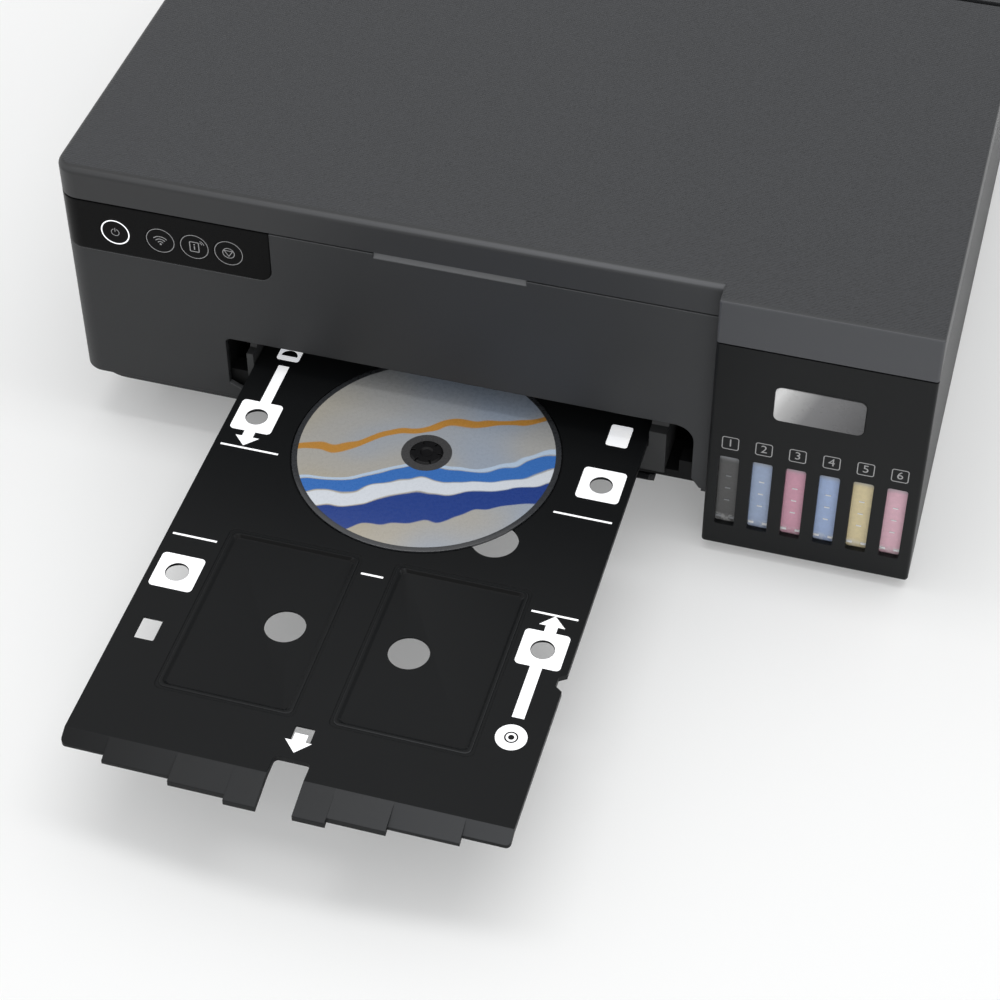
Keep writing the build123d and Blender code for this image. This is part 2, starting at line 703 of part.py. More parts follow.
# feeder: hopper, edge guides, pick-up roller
hopper_run = Vector(0, hopper_top_y - hopper_bottom_y, hopper_top_z - hopper_bottom_z)
hopper_plane = Plane(
    origin=(0, hopper_bottom_y, hopper_bottom_z),
    x_dir=(1, 0, 0),
    z_dir=Vector(1, 0, 0).cross(hopper_run).normalized(),
)
hopper_length = hopper_run.length
with BuildPart() as hopper:
    with BuildSketch(hopper_plane):
        with Locations((0, hopper_length / 2)):
            Rectangle(2 * hopper_half_width, hopper_length)
        with Locations((0, hopper_length * 0.55)):
            SlotOverall(2 * hopper_half_width - 20.0, 6.0, mode=Mode.SUBTRACT)
    extrude(amount=-2.0)
    block((-hopper_half_width, hopper_half_width), (hopper_bottom_y - 4.0, hopper_bottom_y + 2.0),
          (hopper_bottom_z - 3.0, hopper_bottom_z + 1.0))
    for side in (-1, 1):
        web = side * (hopper_half_width + 1.0)
        block((web - 1.0, web + 1.0), (hopper_bottom_y - 30.0, hopper_bottom_y + 30.0),
              (hopper_bottom_z - 6.0, deck_top - 2.0))
        rod_x((web - 2.0, web + 2.0), pickup_y, pickup_z, 2.0 + shaft_gap, mode=Mode.SUBTRACT)
hopper.part.label = "hopper"
export_step(hopper.part, "parts/hopper.step")

guide_centre = 99.0
guide_middle = hopper_length * 0.55
for side, guide_name in ((-1, "edge_guide_left"), (1, "edge_guide_right")):
    with BuildPart() as edge_guide:
        with BuildSketch(hopper_plane.offset(0.3)):
            with Locations((side * guide_centre, guide_middle)):
                Rectangle(14.0, 34.0)
        extrude(amount=1.6)
        with BuildSketch(hopper_plane.offset(0.3)):
            with Locations((side * (guide_centre + 6.0), hopper_length * 0.5)):
                Rectangle(2.0, 46.0)
        extrude(amount=9.0)
        with BuildSketch(hopper_plane.offset(-3.2)):
            with Locations((side * (guide_centre - 6.0), guide_middle)):
                Rectangle(10.0, 4.8)
        extrude(amount=4.0)
    edge_guide.part.label = guide_name
    export_step(edge_guide.part, "parts/" + guide_name + ".step")

with BuildPart() as pickup_roller:
    rod_x((-hopper_half_width + 0.4, hopper_half_width - 0.4), pickup_y, pickup_z, 3.0)
    for side in (-1, 1):
        rod_x((side * 30.0 - 12.0, side * 30.0 + 12.0), pickup_y, pickup_z, pickup_radius)
        stub = side * (hopper_half_width + 1.0)
        rod_x((stub - 1.6, stub + 1.6), pickup_y, pickup_z, 2.0)
pickup_roller.part.label = "pickup_roller"
export_step(pickup_roller.part, "parts/pickup_roller.step")

# disc tray
with BuildPart() as disc_tray:
    block((tray_left, tray_right), (disc_y - lip_bend, disc_y + tray_back_length), (tray_bottom, tray_top))
    rear_corners = disc_tray.edges().filter_by(Axis.Z).group_by(Axis.Y)[-1]
    chamfer(rear_corners, length=6.0)
    rear_lead = disc_tray.faces().sort_by(Axis.Y)[-1].edges().filter_by(Axis.X)
    chamfer(rear_lead, length=0.8)
    # the front lip, bent down in four stepped tabs each side of the finger notch
    for side in (-1, 1):
        for step in range(len(tab_edges)):
            near = tab_edges[step]
            far = tab_edges[step + 1] if step + 1 < len(tab_edges) else tray_half_width
            x_low = tray_centre_x + (near if side > 0 else -far)
            reach = disc_y - tab_reaches[step]
            low = tray_top - tab_drops[step]
            with BuildSketch(Plane.YZ.offset(x_low)):
                with BuildLine():
                    Polyline(
                        (disc_y - lip_bend, tray_top),
                        (reach, low),
                        (reach, low - lip_thick),
                        (disc_y - lip_bend, tray_bottom),
                        close=True,
                    )
                make_face()
            extrude(amount=far - near)
    outer_tab_y = disc_y - tab_reaches[-1]
    for side in (-1, 1):
        corner_point = (tray_centre_x + side * tray_half_width, outer_tab_y, tray_top - 4.0)
        fillet(disc_tray.edges().sort_by_distance(corner_point).filter_by(Axis.Z)[0], radius=2.0)
    # finger notch in the middle of the lip
    with BuildSketch(Plane.XY.offset(tray_bottom - 5.0)):
        with Locations((tray_centre_x, disc_y - finger_notch_y)):
            Rectangle(2 * tab_edges[0], finger_notch_length)
    extrude(amount=10.0, mode=Mode.SUBTRACT)
    # arrow hole, square window and the small notch in the right edge
    block((disc_x - 4.8, disc_x + 3.5), (disc_y - 169.0, disc_y - 161.3), (tray_bottom - 1.0, tray_top + 1.0),
          mode=Mode.SUBTRACT)
    block((disc_x - 85.1, disc_x - 76.3), (disc_y - 135.7, disc_y - 123.8),
          (tray_bottom - 1.0, tray_top + 1.0), mode=Mode.SUBTRACT)
    with BuildSketch(Plane.XY.offset(tray_bottom - 1.0)):
        with BuildLine():
            Polyline(
                (tray_right + 1.0, disc_y - 108.0),
                (tray_right - 3.0, disc_y - 109.5),
                (tray_right - 3.2, disc_y - 111.5),
                (tray_right - 1.0, disc_y - 115.0),
                (tray_right + 1.0, disc_y - 119.0),
                close=True,
            )
        make_face()
    extrude(amount=tray_thick + 2.0, mode=Mode.SUBTRACT)
    # sensing holes in the four corner marks
    with BuildSketch(Plane.XY.offset(tray_bottom - 1.0)):
        with Locations(
            (disc_x - 80.8, disc_y + 1.6), (disc_x - 80.8, disc_y - 96.9),
            (disc_x + 79.6, disc_y + 1.6), (disc_x + 79.6, disc_y - 96.7),
        ):
            Circle(sensor_hole_radius)
    extrude(amount=tray_thick + 2.0, mode=Mode.SUBTRACT)
    # disc seat with its finger hole
    with BuildSketch(Plane.XY.offset(tray_top - disc_seat_depth)):
        with Locations((disc_x, disc_y)):
            Circle(disc_radius + 0.7)
    extrude(amount=disc_seat_depth + 1.0, mode=Mode.SUBTRACT)
    with BuildSketch(Plane.XY.offset(tray_bottom - 1.0)):
        with Locations((disc_x + 43.6, disc_y - 42.4)):
            Circle(disc_finger_radius)
        with Locations((disc_x, disc_y)):
            Circle(hub_hole_radius)
    extrude(amount=tray_thick + 2.0, mode=Mode.SUBTRACT)
    # card seats: a shallow outer step, the deep seat and a finger hole
    for side in (-1, 1):
        card_x = disc_x + side * card_offset_x
        card_y = disc_y + card_offset_y
        with BuildSketch(Plane.XY.offset(tray_top - card_step)):
            with Locations((card_x, card_y)):
                RectangleRounded(card_width + 2 * card_rim, card_length + 2 * card_rim, card_rim)
        extrude(amount=1.0, mode=Mode.SUBTRACT)
        with BuildSketch(Plane.XY.offset(tray_top - card_step - card_depth)):
            with Locations((card_x, card_y)):
                RectangleRounded(card_width, card_length, 2.0)
        extrude(amount=2.0, mode=Mode.SUBTRACT)
        with BuildSketch(Plane.XY.offset(tray_bottom - 1.0)):
            with Locations((disc_x + side * card_finger_x, card_y)):
                Circle(card_finger_radius)
        extrude(amount=tray_thick + 2.0, mode=Mode.SUBTRACT)
disc_tray.part.label = "disc_tray"
export_step(disc_tray.part, "parts/disc_tray.step")

seat_z = tray_top - disc_seat_depth
with BuildPart() as tray_hub:
    with BuildSketch(Plane.XZ.offset(-disc_y)):
        with BuildLine():
            Polyline(
                (disc_x, tray_bottom + 0.4),
                (disc_x + hub_hole_radius - 0.1, tray_bottom + 0.4),
                (disc_x + hub_hole_radius - 0.1, seat_z),
                (disc_x + disc_hole_radius - 0.15, seat_z),
                (disc_x + disc_hole_radius - 0.15, seat_z + 1.2),
                (disc_x + disc_hole_radius - 0.9, seat_z + 1.8),
                (disc_x + 3.0, seat_z + 1.8),
                (disc_x + 2.4, seat_z + 1.2),
                (disc_x, seat_z + 1.2),
                close=True,
            )
        make_face()
    revolve(axis=Axis((disc_x, disc_y, 0), (0, 0, 1)))
    # slits that let the hub spring inwards
    with BuildSketch(Plane.XY.offset(seat_z + 0.4)):
        with PolarLocations(radius=disc_hole_radius, count=6):
            Rectangle(5.0, 0.7)
    slits = extrude(amount=3.0, mode=Mode.PRIVATE)
    add(slits.moved(Location((disc_x, disc_y, 0))), mode=Mode.SUBTRACT)
tray_hub.part.label = "tray_hub"
export_step(tray_hub.part, "parts/tray_hub.step")

with BuildPart() as disc:
    with BuildSketch(Plane.XY.offset(seat_z + seat_gap)):
        with Locations((disc_x, disc_y)):
            Circle(disc_radius)
            Circle(disc_hole_radius, mode=Mode.SUBTRACT)
    extrude(amount=disc_thick)
    chamfer(disc.edges().group_by(Axis.Z)[-1], length=0.2)
disc.part.label = "disc"
export_step(disc.part, "parts/disc.step")

# tray guides and the frame behind the opening
guide_depth = 24.0
guide_face_y = front_y + 1.8
guide_foot_y = front_y + 3.4
sill_top = guide_bottom + 1.0
ledge_top = tray_bottom - tray_travel_gap
with BuildPart() as tray_guides:
    for side in (0, 1):
        outer_x = tray_right + tray_travel_gap if side else tray_left - tray_travel_gap - guide_widths[0]
        under_x = tray_right - guide_lip if side else tray_left - tray_travel_gap
        with BuildSketch(Plane.YZ.offset(outer_x)):
            with BuildLine():
                Polyline(
                    (guide_face_y, guide_bottom),
                    (guide_face_y, guide_face_top),
                    (guide_face_y + 5.0, guide_face_top),
                    (guide_face_y + 9.0, guide_back_top),
                    (front_y + guide_depth, guide_back_top),
                    (front_y + guide_depth, sill_top),
                    (guide_foot_y, sill_top),
                    (guide_foot_y, guide_bottom),
                    close=True,
                )
            make_face()
        extrude(amount=guide_widths[side])
        # the part of the guide that carries the tray's edge
        with BuildSketch(Plane.YZ.offset(under_x)):
            with BuildLine():
                Polyline(
                    (guide_face_y, guide_bottom),
                    (guide_face_y, ledge_top),
                    (front_y + guide_depth, ledge_top),
                    (front_y + guide_depth, sill_top),
                    (guide_foot_y, sill_top),
                    (guide_foot_y, guide_bottom),
                    close=True,
                )
            make_face()
        extrude(amount=guide_lip + tray_travel_gap)
tray_guides.part.label = "tray_guides"
export_step(tray_guides.part, "parts/tray_guides.step")

frame_wall = 1.6
left_block_top = 43.0
right_block_top = 40.0
with BuildPart() as exit_frame:
    frame_y = (front_y + 3.6, front_y + guide_depth)
    block_y = (frame_y[0], front_y + 12.0)
    frame_left = opening_left - frame_wall
    frame_right = opening_right + frame_wall
    block((frame_left, frame_right), frame_y, (front_bottom, sill_top))
    block((frame_left, opening_left - joint_gap), frame_y, (front_bottom, opening_top))
    block((opening_right + joint_gap, frame_right), frame_y, (front_bottom, opening_top))
    # blocks that close the corners of the opening beside the guides
    block((opening_left - joint_gap, tray_left - tray_travel_gap - guide_widths[0]), block_y,
          (sill_top, left_block_top))
    block((opening_right - 6.5, opening_right + joint_gap), block_y, (sill_top, right_block_top))
    for flange in ((opening_left - 12.0, opening_left - 1.0), (opening_right + 1.0, opening_right + 8.0)):
        block(flange, (front_y + 9.0, front_y + 10.6), frame_ledge_z)
exit_frame.part.label = "exit_frame"
export_step(exit_frame.part, "parts/exit_frame.step")

# output tray, in two stages
out_low = out_plate_top - 5.6
with BuildPart() as output_tray:
    out_back_y = out_front_y + out_length
    fold = (out_plate_top - 3.0, out_plate_top)
    block((out_left, out_right), (out_front_y, out_back_y), (out_plate_top - out_plate, out_plate_top))
    block((out_left, out_right), (out_front_y, out_front_y + out_plate), fold)
    for side_x in (out_left, out_right - out_plate):
        block((side_x, side_x + out_plate), (out_front_y, out_front_y + out_length * 0.1), fold)
    for number in range(out_rib_count):
        rib_x = out_centre + (number - (out_rib_count - 1) / 2) * out_rib_pitch
        block((rib_x, rib_x + 1.2), (out_front_y + 8.0, out_back_y - 8.0),
              (out_plate_top, out_plate_top + 1.0))
    # ears under the plate that hold the second stage
    for side in (-1, 1):
        ear = out_centre + side * out_rail_offset
        block((ear - 1.2, ear + 1.2), (out_front_y + 6.0, out_back_y - 6.0),
              (out_low, out_plate_top - out_plate))
output_tray.part.label = "output_tray"
export_step(output_tray.part, "parts/output_tray.step")

with BuildPart() as output_extension:
    span = (out_centre - out_rail_offset + 1.6, out_centre + out_rail_offset - 1.6)
    block(span, (out_front_y, out_front_y + out_length * 0.85), (out_low + 0.4, out_low + 2.2))
    block(span, (out_front_y, out_front_y + 2.0), (out_low, out_low + 2.4))
    with BuildSketch(Plane.XY.offset(out_low)):
        with Locations((out_centre, out_front_y + 14.0)):
            SlotOverall(46.0, 10.0)
    extrude(amount=4.0, mode=Mode.SUBTRACT)
output_extension.part.label = "output_extension"
export_step(output_extension.part, "parts/output_extension.step")

# ink tanks and their caps
tank_face_y = tank_front_y + wall + 0.6
neck_y = tank_face_y + 22.0
cap_pivot_y = neck_y + cap_arm
cap_pivot_z = tank_top + 2.4
cap_low = tank_top + 1.0
cap_pin_radius = 0.8
cap_arm_half = 3.0
cap_ear_x = 4.2
for number in range(tank_count):
    tank_x = first_tank_x + number * tank_pitch
    half = tank_width / 2
    with BuildPart() as ink_tank:
        block((tank_x - half, tank_x + half), (tank_face_y, tank_face_y + tank_depth),
              (tank_bottom, tank_top))
        rod_z((tank_top, tank_top + neck_height), tank_x, neck_y, neck_radius)
        block((tank_x - half + tank_wall, tank_x + half - tank_wall),
              (tank_face_y + tank_wall, tank_face_y + tank_depth - tank_wall),
              (tank_bottom + tank_wall, tank_top - tank_wall), mode=Mode.SUBTRACT)
        rod_z((tank_top - 3.0, tank_top + neck_height + 1.0), tank_x, neck_y, port_radius,
              mode=Mode.SUBTRACT)
        for side in (-1, 1):
            ear = tank_x + side * cap_ear_x
            block((ear - 0.8, ear + 0.8), (cap_pivot_y - 1.6, cap_pivot_y + 1.6),
                  (tank_top, cap_pivot_z + 1.6))
        rod_x((tank_x - cap_ear_x, tank_x + cap_ear_x), cap_pivot_y, cap_pivot_z, cap_pin_radius)
    ink_tank.part.label = "ink_tank_" + str(number + 1)
    export_step(ink_tank.part, "parts/ink_tank_" + str(number + 1) + ".step")

    with BuildPart() as tank_cap:
        arm = (tank_x - cap_arm_half, tank_x + cap_arm_half)
        rod_z((cap_low, cap_low + cap_height), tank_x, neck_y, cap_radius)
        block(arm, (neck_y + 3.0, cap_pivot_y), (cap_pivot_z - 0.8, cap_pivot_z + 1.2))
        rod_z((tank_top, tank_top + neck_height + 0.8), tank_x, neck_y, neck_radius + cap_gap,
              mode=Mode.SUBTRACT)
        rod_x(arm, cap_pivot_y, cap_pivot_z, 2 * cap_pin_radius)
        rod_x((tank_x - cap_ear_x, tank_x + cap_ear_x), cap_pivot_y, cap_pivot_z, cap_pin_radius + shaft_gap,
              mode=Mode.SUBTRACT)
        # finger tab at the front of the cap
        block(arm, (neck_y - cap_radius - 2.0, neck_y - cap_radius + 0.8),
              (cap_low + cap_height - 2.4, cap_low + cap_height - 0.9))
    tank_cap.part.label = "tank_cap_" + str(number + 1)
    export_step(tank_cap.part, "parts/tank_cap_" + str(number + 1) + ".step")

# chassis: roller plates, cross web and holders
star_radius = 5.0
pinch_radius = 4.0
grip_z = seat_z + seat_gap + disc_thick + 1.0
star_z = grip_z + star_radius
pinch_z = grip_z + pinch_radius
small_shaft = 1.2
hook_half = 1.0
hook_reach = 2.6
motor_shaft = 1.5
motor_bore = 2.2
plate_low = floor_z + post_height
plate_corner = 9.0
plate_mid = head_bottom - 1.9
plate_high = 66.0
web_low = 60.0
web_high = rail_top
hook_xs = (disc_x - 89.7, disc_x - 0.7, disc_x + 88.3)
wheel_xs = (disc_x - 73.7, disc_x - 37.7, disc_x + 34.3, disc_x + 70.3)
with BuildPart() as chassis:
    for plate_x in (plate_left_x, plate_right_x):
        with BuildSketch(Plane.YZ.offset(plate_x)):
            with BuildLine():
                Polyline(
                    (eject_y - 14.0, plate_low + plate_corner),
                    (eject_y - 14.0 + plate_corner, plate_low),
                    (web_y + plate_thick, plate_low),
                    (web_y + plate_thick, plate_high),
                    (carriage_front_y + carriage_depth + 4.0, plate_high),
                    (carriage_front_y + carriage_depth + 4.0, plate_mid),
                    (carriage_front_y - 5.0, plate_mid),
                    (carriage_front_y - 5.0, plate_high),
                    (eject_y - 14.0, plate_high),
                    close=True,
                )
            make_face()
            with Locations((eject_y, roller_axis_z), (feed_y, roller_axis_z)):
                Circle(roller_shaft + shaft_gap, mode=Mode.SUBTRACT)
            if plate_x == plate_left_x:
                with Locations((motor_y, motor_z)):
                    Circle(motor_bore, mode=Mode.SUBTRACT)
        extrude(amount=plate_thick)
    block((-side_plate_x, side_plate_x), (web_y, web_y + plate_thick), (web_low, web_high))
    for side in (-1, 1):
        near = min(side * side_plate_x, side * (side_plate_x + plate_thick))
        base_z = floor_z if side > 0 else shelf_z
        block((near, near + plate_thick), (side_plate_y, web_y + plate_thick), (base_z, carriage_top))
        flange = min(side * side_plate_x, side * (side_plate_x - flange_width))
        block((flange, flange + flange_width), (side_plate_y, side_plate_y + flange_length),
              (base_z, base_z + plate_thick))
        for screw_y in screw_ys:
            rod_z((base_z - 1.0, base_z + plate_thick + 1.0), side * screw_x, screw_y, screw_radius,
                  mode=Mode.SUBTRACT)
    # bar and hooks that hold the star wheels
    bar_top = plate_high - 2.0
    block((plate_left_x, plate_right_x + plate_thick), (eject_y - 6.0, eject_y + 6.0),
          (bar_top - plate_thick, bar_top))
    for hook_x in hook_xs:
        hook = (hook_x - hook_half, hook_x + hook_half)
        bore = (hook_x - 2 * hook_half, hook_x + 2 * hook_half)
        block(hook, (eject_y - hook_reach, eject_y + hook_reach), (star_z - hook_reach, bar_top))
        rod_x(bore, eject_y, star_z, small_shaft + shaft_gap, mode=Mode.SUBTRACT)
        block(hook, (feed_y - hook_reach, web_y + 0.5), (pinch_z - hook_reach, web_low + 4.0))
        rod_x(bore, feed_y, pinch_z, small_shaft + shaft_gap, mode=Mode.SUBTRACT)
    # hole for the carriage motor's shaft, stud for the idler pulley
    rod_y((web_y - 1.0, web_y + plate_thick + 1.0), -pulley_x, pulley_z, motor_bore, mode=Mode.SUBTRACT)
    rod_y((rail_y + 7.0, web_y), pulley_x, pulley_z, motor_shaft)
chassis.part.label = "chassis"
export_step(chassis.part, "parts/chassis.step")

with BuildPart() as carriage_rail:
    with BuildSketch(Plane.YZ.offset(-side_plate_x)):
        with BuildLine():
            Polyline(
                (rail_y, rail_top),
                (rail_y, rail_top - rail_height),
                (rail_y + rail_foot, rail_top - rail_height),
                (rail_y + rail_foot, rail_top - rail_height + plate_thick),
                (rail_y + plate_thick, rail_top - rail_height + plate_thick),
                (rail_y + plate_thick, rail_top),
                close=True,
            )
        make_face()
    extrude(amount=2 * side_plate_x)
carriage_rail.part.label = "carriage_rail"
export_step(carriage_rail.part, "parts/carriage_rail.step")

# carriage with the print head
belt_y = rail_y + 8.0
head_half_x = 30.0
head_half_y = 16.0
head_height = 12.0
shoe_half = 15.0
rail_gap = 0.3
damper_wall = 1.4
damper_pitch = 13.0
carriage_wall = 3.0
carriage_floor = head_bottom + 16.0
carriage_back_y = carriage_front_y + carriage_depth
carriage_middle_y = carriage_front_y + carriage_depth / 2
with BuildPart() as carriage:
    with BuildSketch(Plane.XY.offset(head_bottom + 3.6)):
        with Locations((carriage_home_x, carriage_middle_y)):
            RectangleRounded(carriage_width, carriage_depth, 4.0)
    extrude(amount=carriage_top - 16.0 - head_bottom - 3.6)
    with BuildSketch(Plane.XY.offset(carriage_floor)):
        with Locations((carriage_home_x, carriage_middle_y)):
            Rectangle(carriage_width - 2 * carriage_wall, carriage_depth - 2 * carriage_wall)
    extrude(amount=carriage_top - carriage_floor, mode=Mode.SUBTRACT)
    # the well that the print head sits in
    with BuildSketch(Plane.XY.offset(head_bottom)):
        with Locations((carriage_home_x, print_y)):
            Rectangle(2 * (head_half_x + joint_gap), 2 * (head_half_y + joint_gap))
    extrude(amount=head_height, mode=Mode.SUBTRACT)
    # walls between the six chambers for the ink dampers
    with BuildSketch(Plane.XY.offset(carriage_floor - joint_gap)):
        with Locations((carriage_home_x, carriage_middle_y)):
            with GridLocations(damper_pitch, 1.0, tank_count - 1, 1):
                Rectangle(damper_wall, carriage_depth - 5.0)
    extrude(amount=carriage_top - 24.0 - carriage_floor)
    # shoe that rides on the rail and grips the belt, as one hooked profile
    belt_top = pulley_z + pulley_radius + 0.1 + belt_thick + rail_gap
    with BuildSketch(Plane.YZ.offset(carriage_home_x - shoe_half)):
        with BuildLine():
            Polyline(
                (carriage_back_y - carriage_wall, pulley_z - 4.0),
                (carriage_back_y, pulley_z - 4.0),
                (carriage_back_y, pulley_z + 2.6),
                (web_y - 2.6, pulley_z + 2.6),
                (web_y - 2.6, carriage_top),
                (carriage_back_y - carriage_wall, carriage_top),
                close=True,
            )
        make_face()
        with Locations((rail_y + plate_thick / 2, (pulley_z + rail_top + rail_gap) / 2)):
            Rectangle(plate_thick + 2 * rail_gap, rail_top + rail_gap - pulley_z, mode=Mode.SUBTRACT)
        with Locations((belt_y + belt_width / 2, (pulley_z + belt_top) / 2)):
            Rectangle(belt_width + 2 * rail_gap, belt_top - pulley_z, mode=Mode.SUBTRACT)
    extrude(amount=2 * shoe_half)
carriage.part.label = "carriage"
export_step(carriage.part, "parts/carriage.step")

with BuildPart() as print_head:
    block((carriage_home_x - head_half_x, carriage_home_x + head_half_x),
          (print_y - head_half_y, print_y + head_half_y), (head_bottom, head_bottom + head_height))
    chamfer(print_head.faces().sort_by(Axis.Z)[0].edges(), length=0.6)
print_head.part.label = "print_head"
export_step(print_head.part, "parts/print_head.step")

with BuildPart() as timing_belt:
    with BuildSketch(Plane.XZ.offset(-belt_y - belt_width)):
        with Locations((0, pulley_z)):
            SlotCenterToCenter(2 * pulley_x, 2 * (pulley_radius + 0.1 + belt_thick))
            SlotCenterToCenter(2 * pulley_x, 2 * (pulley_radius + 0.1), mode=Mode.SUBTRACT)
    extrude(amount=belt_width)
timing_belt.part.label = "timing_belt"
export_step(timing_belt.part, "parts/timing_belt.step")

rim_thick = 0.5
rim_height = 1.8
rim_gap = 0.1
motor_shaft_reach = 5.0
carriage_motor_length = 30.0
carriage_motor_radius = 14.0
roller_motor_length = 18.0
roller_motor_radius = 13.0
behind_web_y = web_y + plate_thick
for name, centre_x in (("drive_pulley", -pulley_x), ("idler_pulley", pulley_x)):
    with BuildPart() as pulley:
        near_rim = (belt_y - rim_gap - rim_thick, belt_y - rim_gap)
        far_rim = (belt_y + belt_width + rim_gap, belt_y + belt_width + rim_gap + rim_thick)
        rod_y((near_rim[0], far_rim[1]), centre_x, pulley_z, pulley_radius)
        rod_y(near_rim, centre_x, pulley_z, pulley_radius + rim_height)
        rod_y(far_rim, centre_x, pulley_z, pulley_radius + rim_height)
        if name == "drive_pulley":
            rod_y((belt_y + belt_width, behind_web_y + motor_shaft_reach), centre_x, pulley_z, motor_shaft)
        else:
            rod_y((belt_y - 2.0, belt_y + belt_width + 2.0), centre_x, pulley_z, motor_shaft + shaft_gap,
                  mode=Mode.SUBTRACT)
    pulley.part.label = name
    export_step(pulley.part, "parts/" + name + ".step")

inside_plate_x = plate_left_x + plate_thick
with BuildPart() as motors:
    rod_y((behind_web_y, behind_web_y + carriage_motor_length), -pulley_x, pulley_z, carriage_motor_radius)
    rod_y((web_y, behind_web_y + motor_shaft_reach + 1.0), -pulley_x, pulley_z, motor_shaft + shaft_gap,
          mode=Mode.SUBTRACT)
    rod_x((inside_plate_x, inside_plate_x + roller_motor_length), motor_y, motor_z, roller_motor_radius)
    rod_x((plate_left_x, inside_plate_x + motor_shaft_reach + 1.0), motor_y, motor_z, motor_shaft + shaft_gap,
          mode=Mode.SUBTRACT)
motors.part.label = "motors"
export_step(motors.part, "parts/motors.step")

# rollers, their belt and the platen
belt_x = plate_left_x - 11.0
for name, axis_y in (("feed_roller", feed_y), ("eject_roller", eject_y)):
    with BuildPart() as roller:
        rod_x((belt_x, plate_right_x + plate_thick + 3.0), axis_y, roller_axis_z, roller_shaft)
        rod_x((belt_x, belt_x + belt_width), axis_y, roller_axis_z, drive_pulley_radius)
        if name == "feed_roller":
            rod_x((roller_left, roller_right), axis_y, roller_axis_z, roller_radius)
        else:
            for wheel_x in wheel_xs:
                rod_x((wheel_x - 5.0, wheel_x + 5.0), axis_y, roller_axis_z, roller_radius)
    roller.part.label = name
    export_step(roller.part, "parts/" + name + ".step")

with BuildPart() as motor_pulley:
    rod_x((belt_x, belt_x + belt_width), motor_y, motor_z, drive_pulley_radius)
    rod_x((belt_x + belt_width, inside_plate_x + motor_shaft_reach), motor_y, motor_z, motor_shaft)
motor_pulley.part.label = "motor_pulley"
export_step(motor_pulley.part, "parts/motor_pulley.step")

with BuildPart() as roller_belt:
    with BuildSketch(Plane.YZ.offset(belt_x)):
        with Locations((eject_y, roller_axis_z), (feed_y, roller_axis_z), (motor_y, motor_z)):
            Circle(drive_pulley_radius + 0.1 + belt_thick)
        make_hull()
    extrude(amount=belt_width)
    with BuildSketch(Plane.YZ.offset(belt_x)):
        with Locations((eject_y, roller_axis_z), (feed_y, roller_axis_z), (motor_y, motor_z)):
            Circle(drive_pulley_radius + 0.1)
        make_hull()
    extrude(amount=belt_width, mode=Mode.SUBTRACT)
roller_belt.part.label = "roller_belt"
export_step(roller_belt.part, "parts/roller_belt.step")

shaft_ends = (hook_xs[0] - 3.0, hook_xs[-1] + 3.0)
star_half = 0.8
pinch_half = 9.0
with BuildPart() as star_wheels:
    rod_x(shaft_ends, eject_y, star_z, small_shaft)
    for wheel_x in wheel_xs:
        rod_x((wheel_x - star_half, wheel_x + star_half), eject_y, star_z, star_radius)
star_wheels.part.label = "star_wheels"
export_step(star_wheels.part, "parts/star_wheels.step")

with BuildPart() as pinch_rollers:
    rod_x(shaft_ends, feed_y, pinch_z, small_shaft)
    for wheel_x in (disc_x - 67.7, disc_x - 23.7, disc_x + 22.3, disc_x + 66.3):
        rod_x((wheel_x - pinch_half, wheel_x + pinch_half), feed_y, pinch_z, pinch_radius)
pinch_rollers.part.label = "pinch_rollers"
export_step(pinch_rollers.part, "parts/pinch_rollers.step")

platen_rib_height = 3.0
platen_rib_pitch = 18.0
platen_rib_count = 11
platen_y = (carriage_front_y - 14.0, carriage_back_y)
platen_ends = (inside_plate_x, plate_right_x)
spill_margin = 6.0
with BuildPart() as platen:
    block(platen_ends, platen_y, (roller_axis_z - 4.0, ledge_top - platen_rib_height))
    for number in range(platen_rib_count):
        rib_x = roller_left + 12.0 + number * platen_rib_pitch
        block((rib_x, rib_x + 2.0), platen_y, (ledge_top - platen_rib_height, ledge_top))
    # trough for ink printed past the edges
    block((platen_ends[0] + spill_margin, platen_ends[1] - spill_margin), (print_y - 9.0, print_y + 9.0),
          (ledge_top - 5.0, ledge_top + 1.0), mode=Mode.SUBTRACT)
platen.part.label = "platen"
export_step(platen.part, "parts/platen.step")

# capping station, waste ink box, power supply, boards
cap_half_x = head_half_x + 2.0
cap_half_y = head_half_y + 2.0
cap_top = head_bottom - 0.4
station_half = 38.0
station_top = head_bottom - 6.0
pump_radius = 12.0
pump_z = 26.0
with BuildPart() as capping_station:
    block((carriage_home_x - station_half, carriage_home_x + station_half),
          (carriage_front_y + 3.0, carriage_back_y - 6.0), (floor_z, station_top))
    # the cup that seals the print head
    with BuildSketch(Plane.XY.offset(station_top)):
        with Locations((carriage_home_x, print_y)):
            RectangleRounded(2 * cap_half_x, 2 * cap_half_y, 2.0)
    extrude(amount=cap_top - station_top)
    with BuildSketch(Plane.XY.offset(cap_top - 3.0)):
        with Locations((carriage_home_x, print_y)):
            Rectangle(2 * head_half_x, 2 * head_half_y)
    extrude(amount=4.0, mode=Mode.SUBTRACT)
    rod_x((carriage_home_x - station_half - 4.0, carriage_home_x - station_half), carriage_back_y - 20.0,
          pump_z, pump_radius)
capping_station.part.label = "capping_station"
export_step(capping_station.part, "parts/capping_station.step")

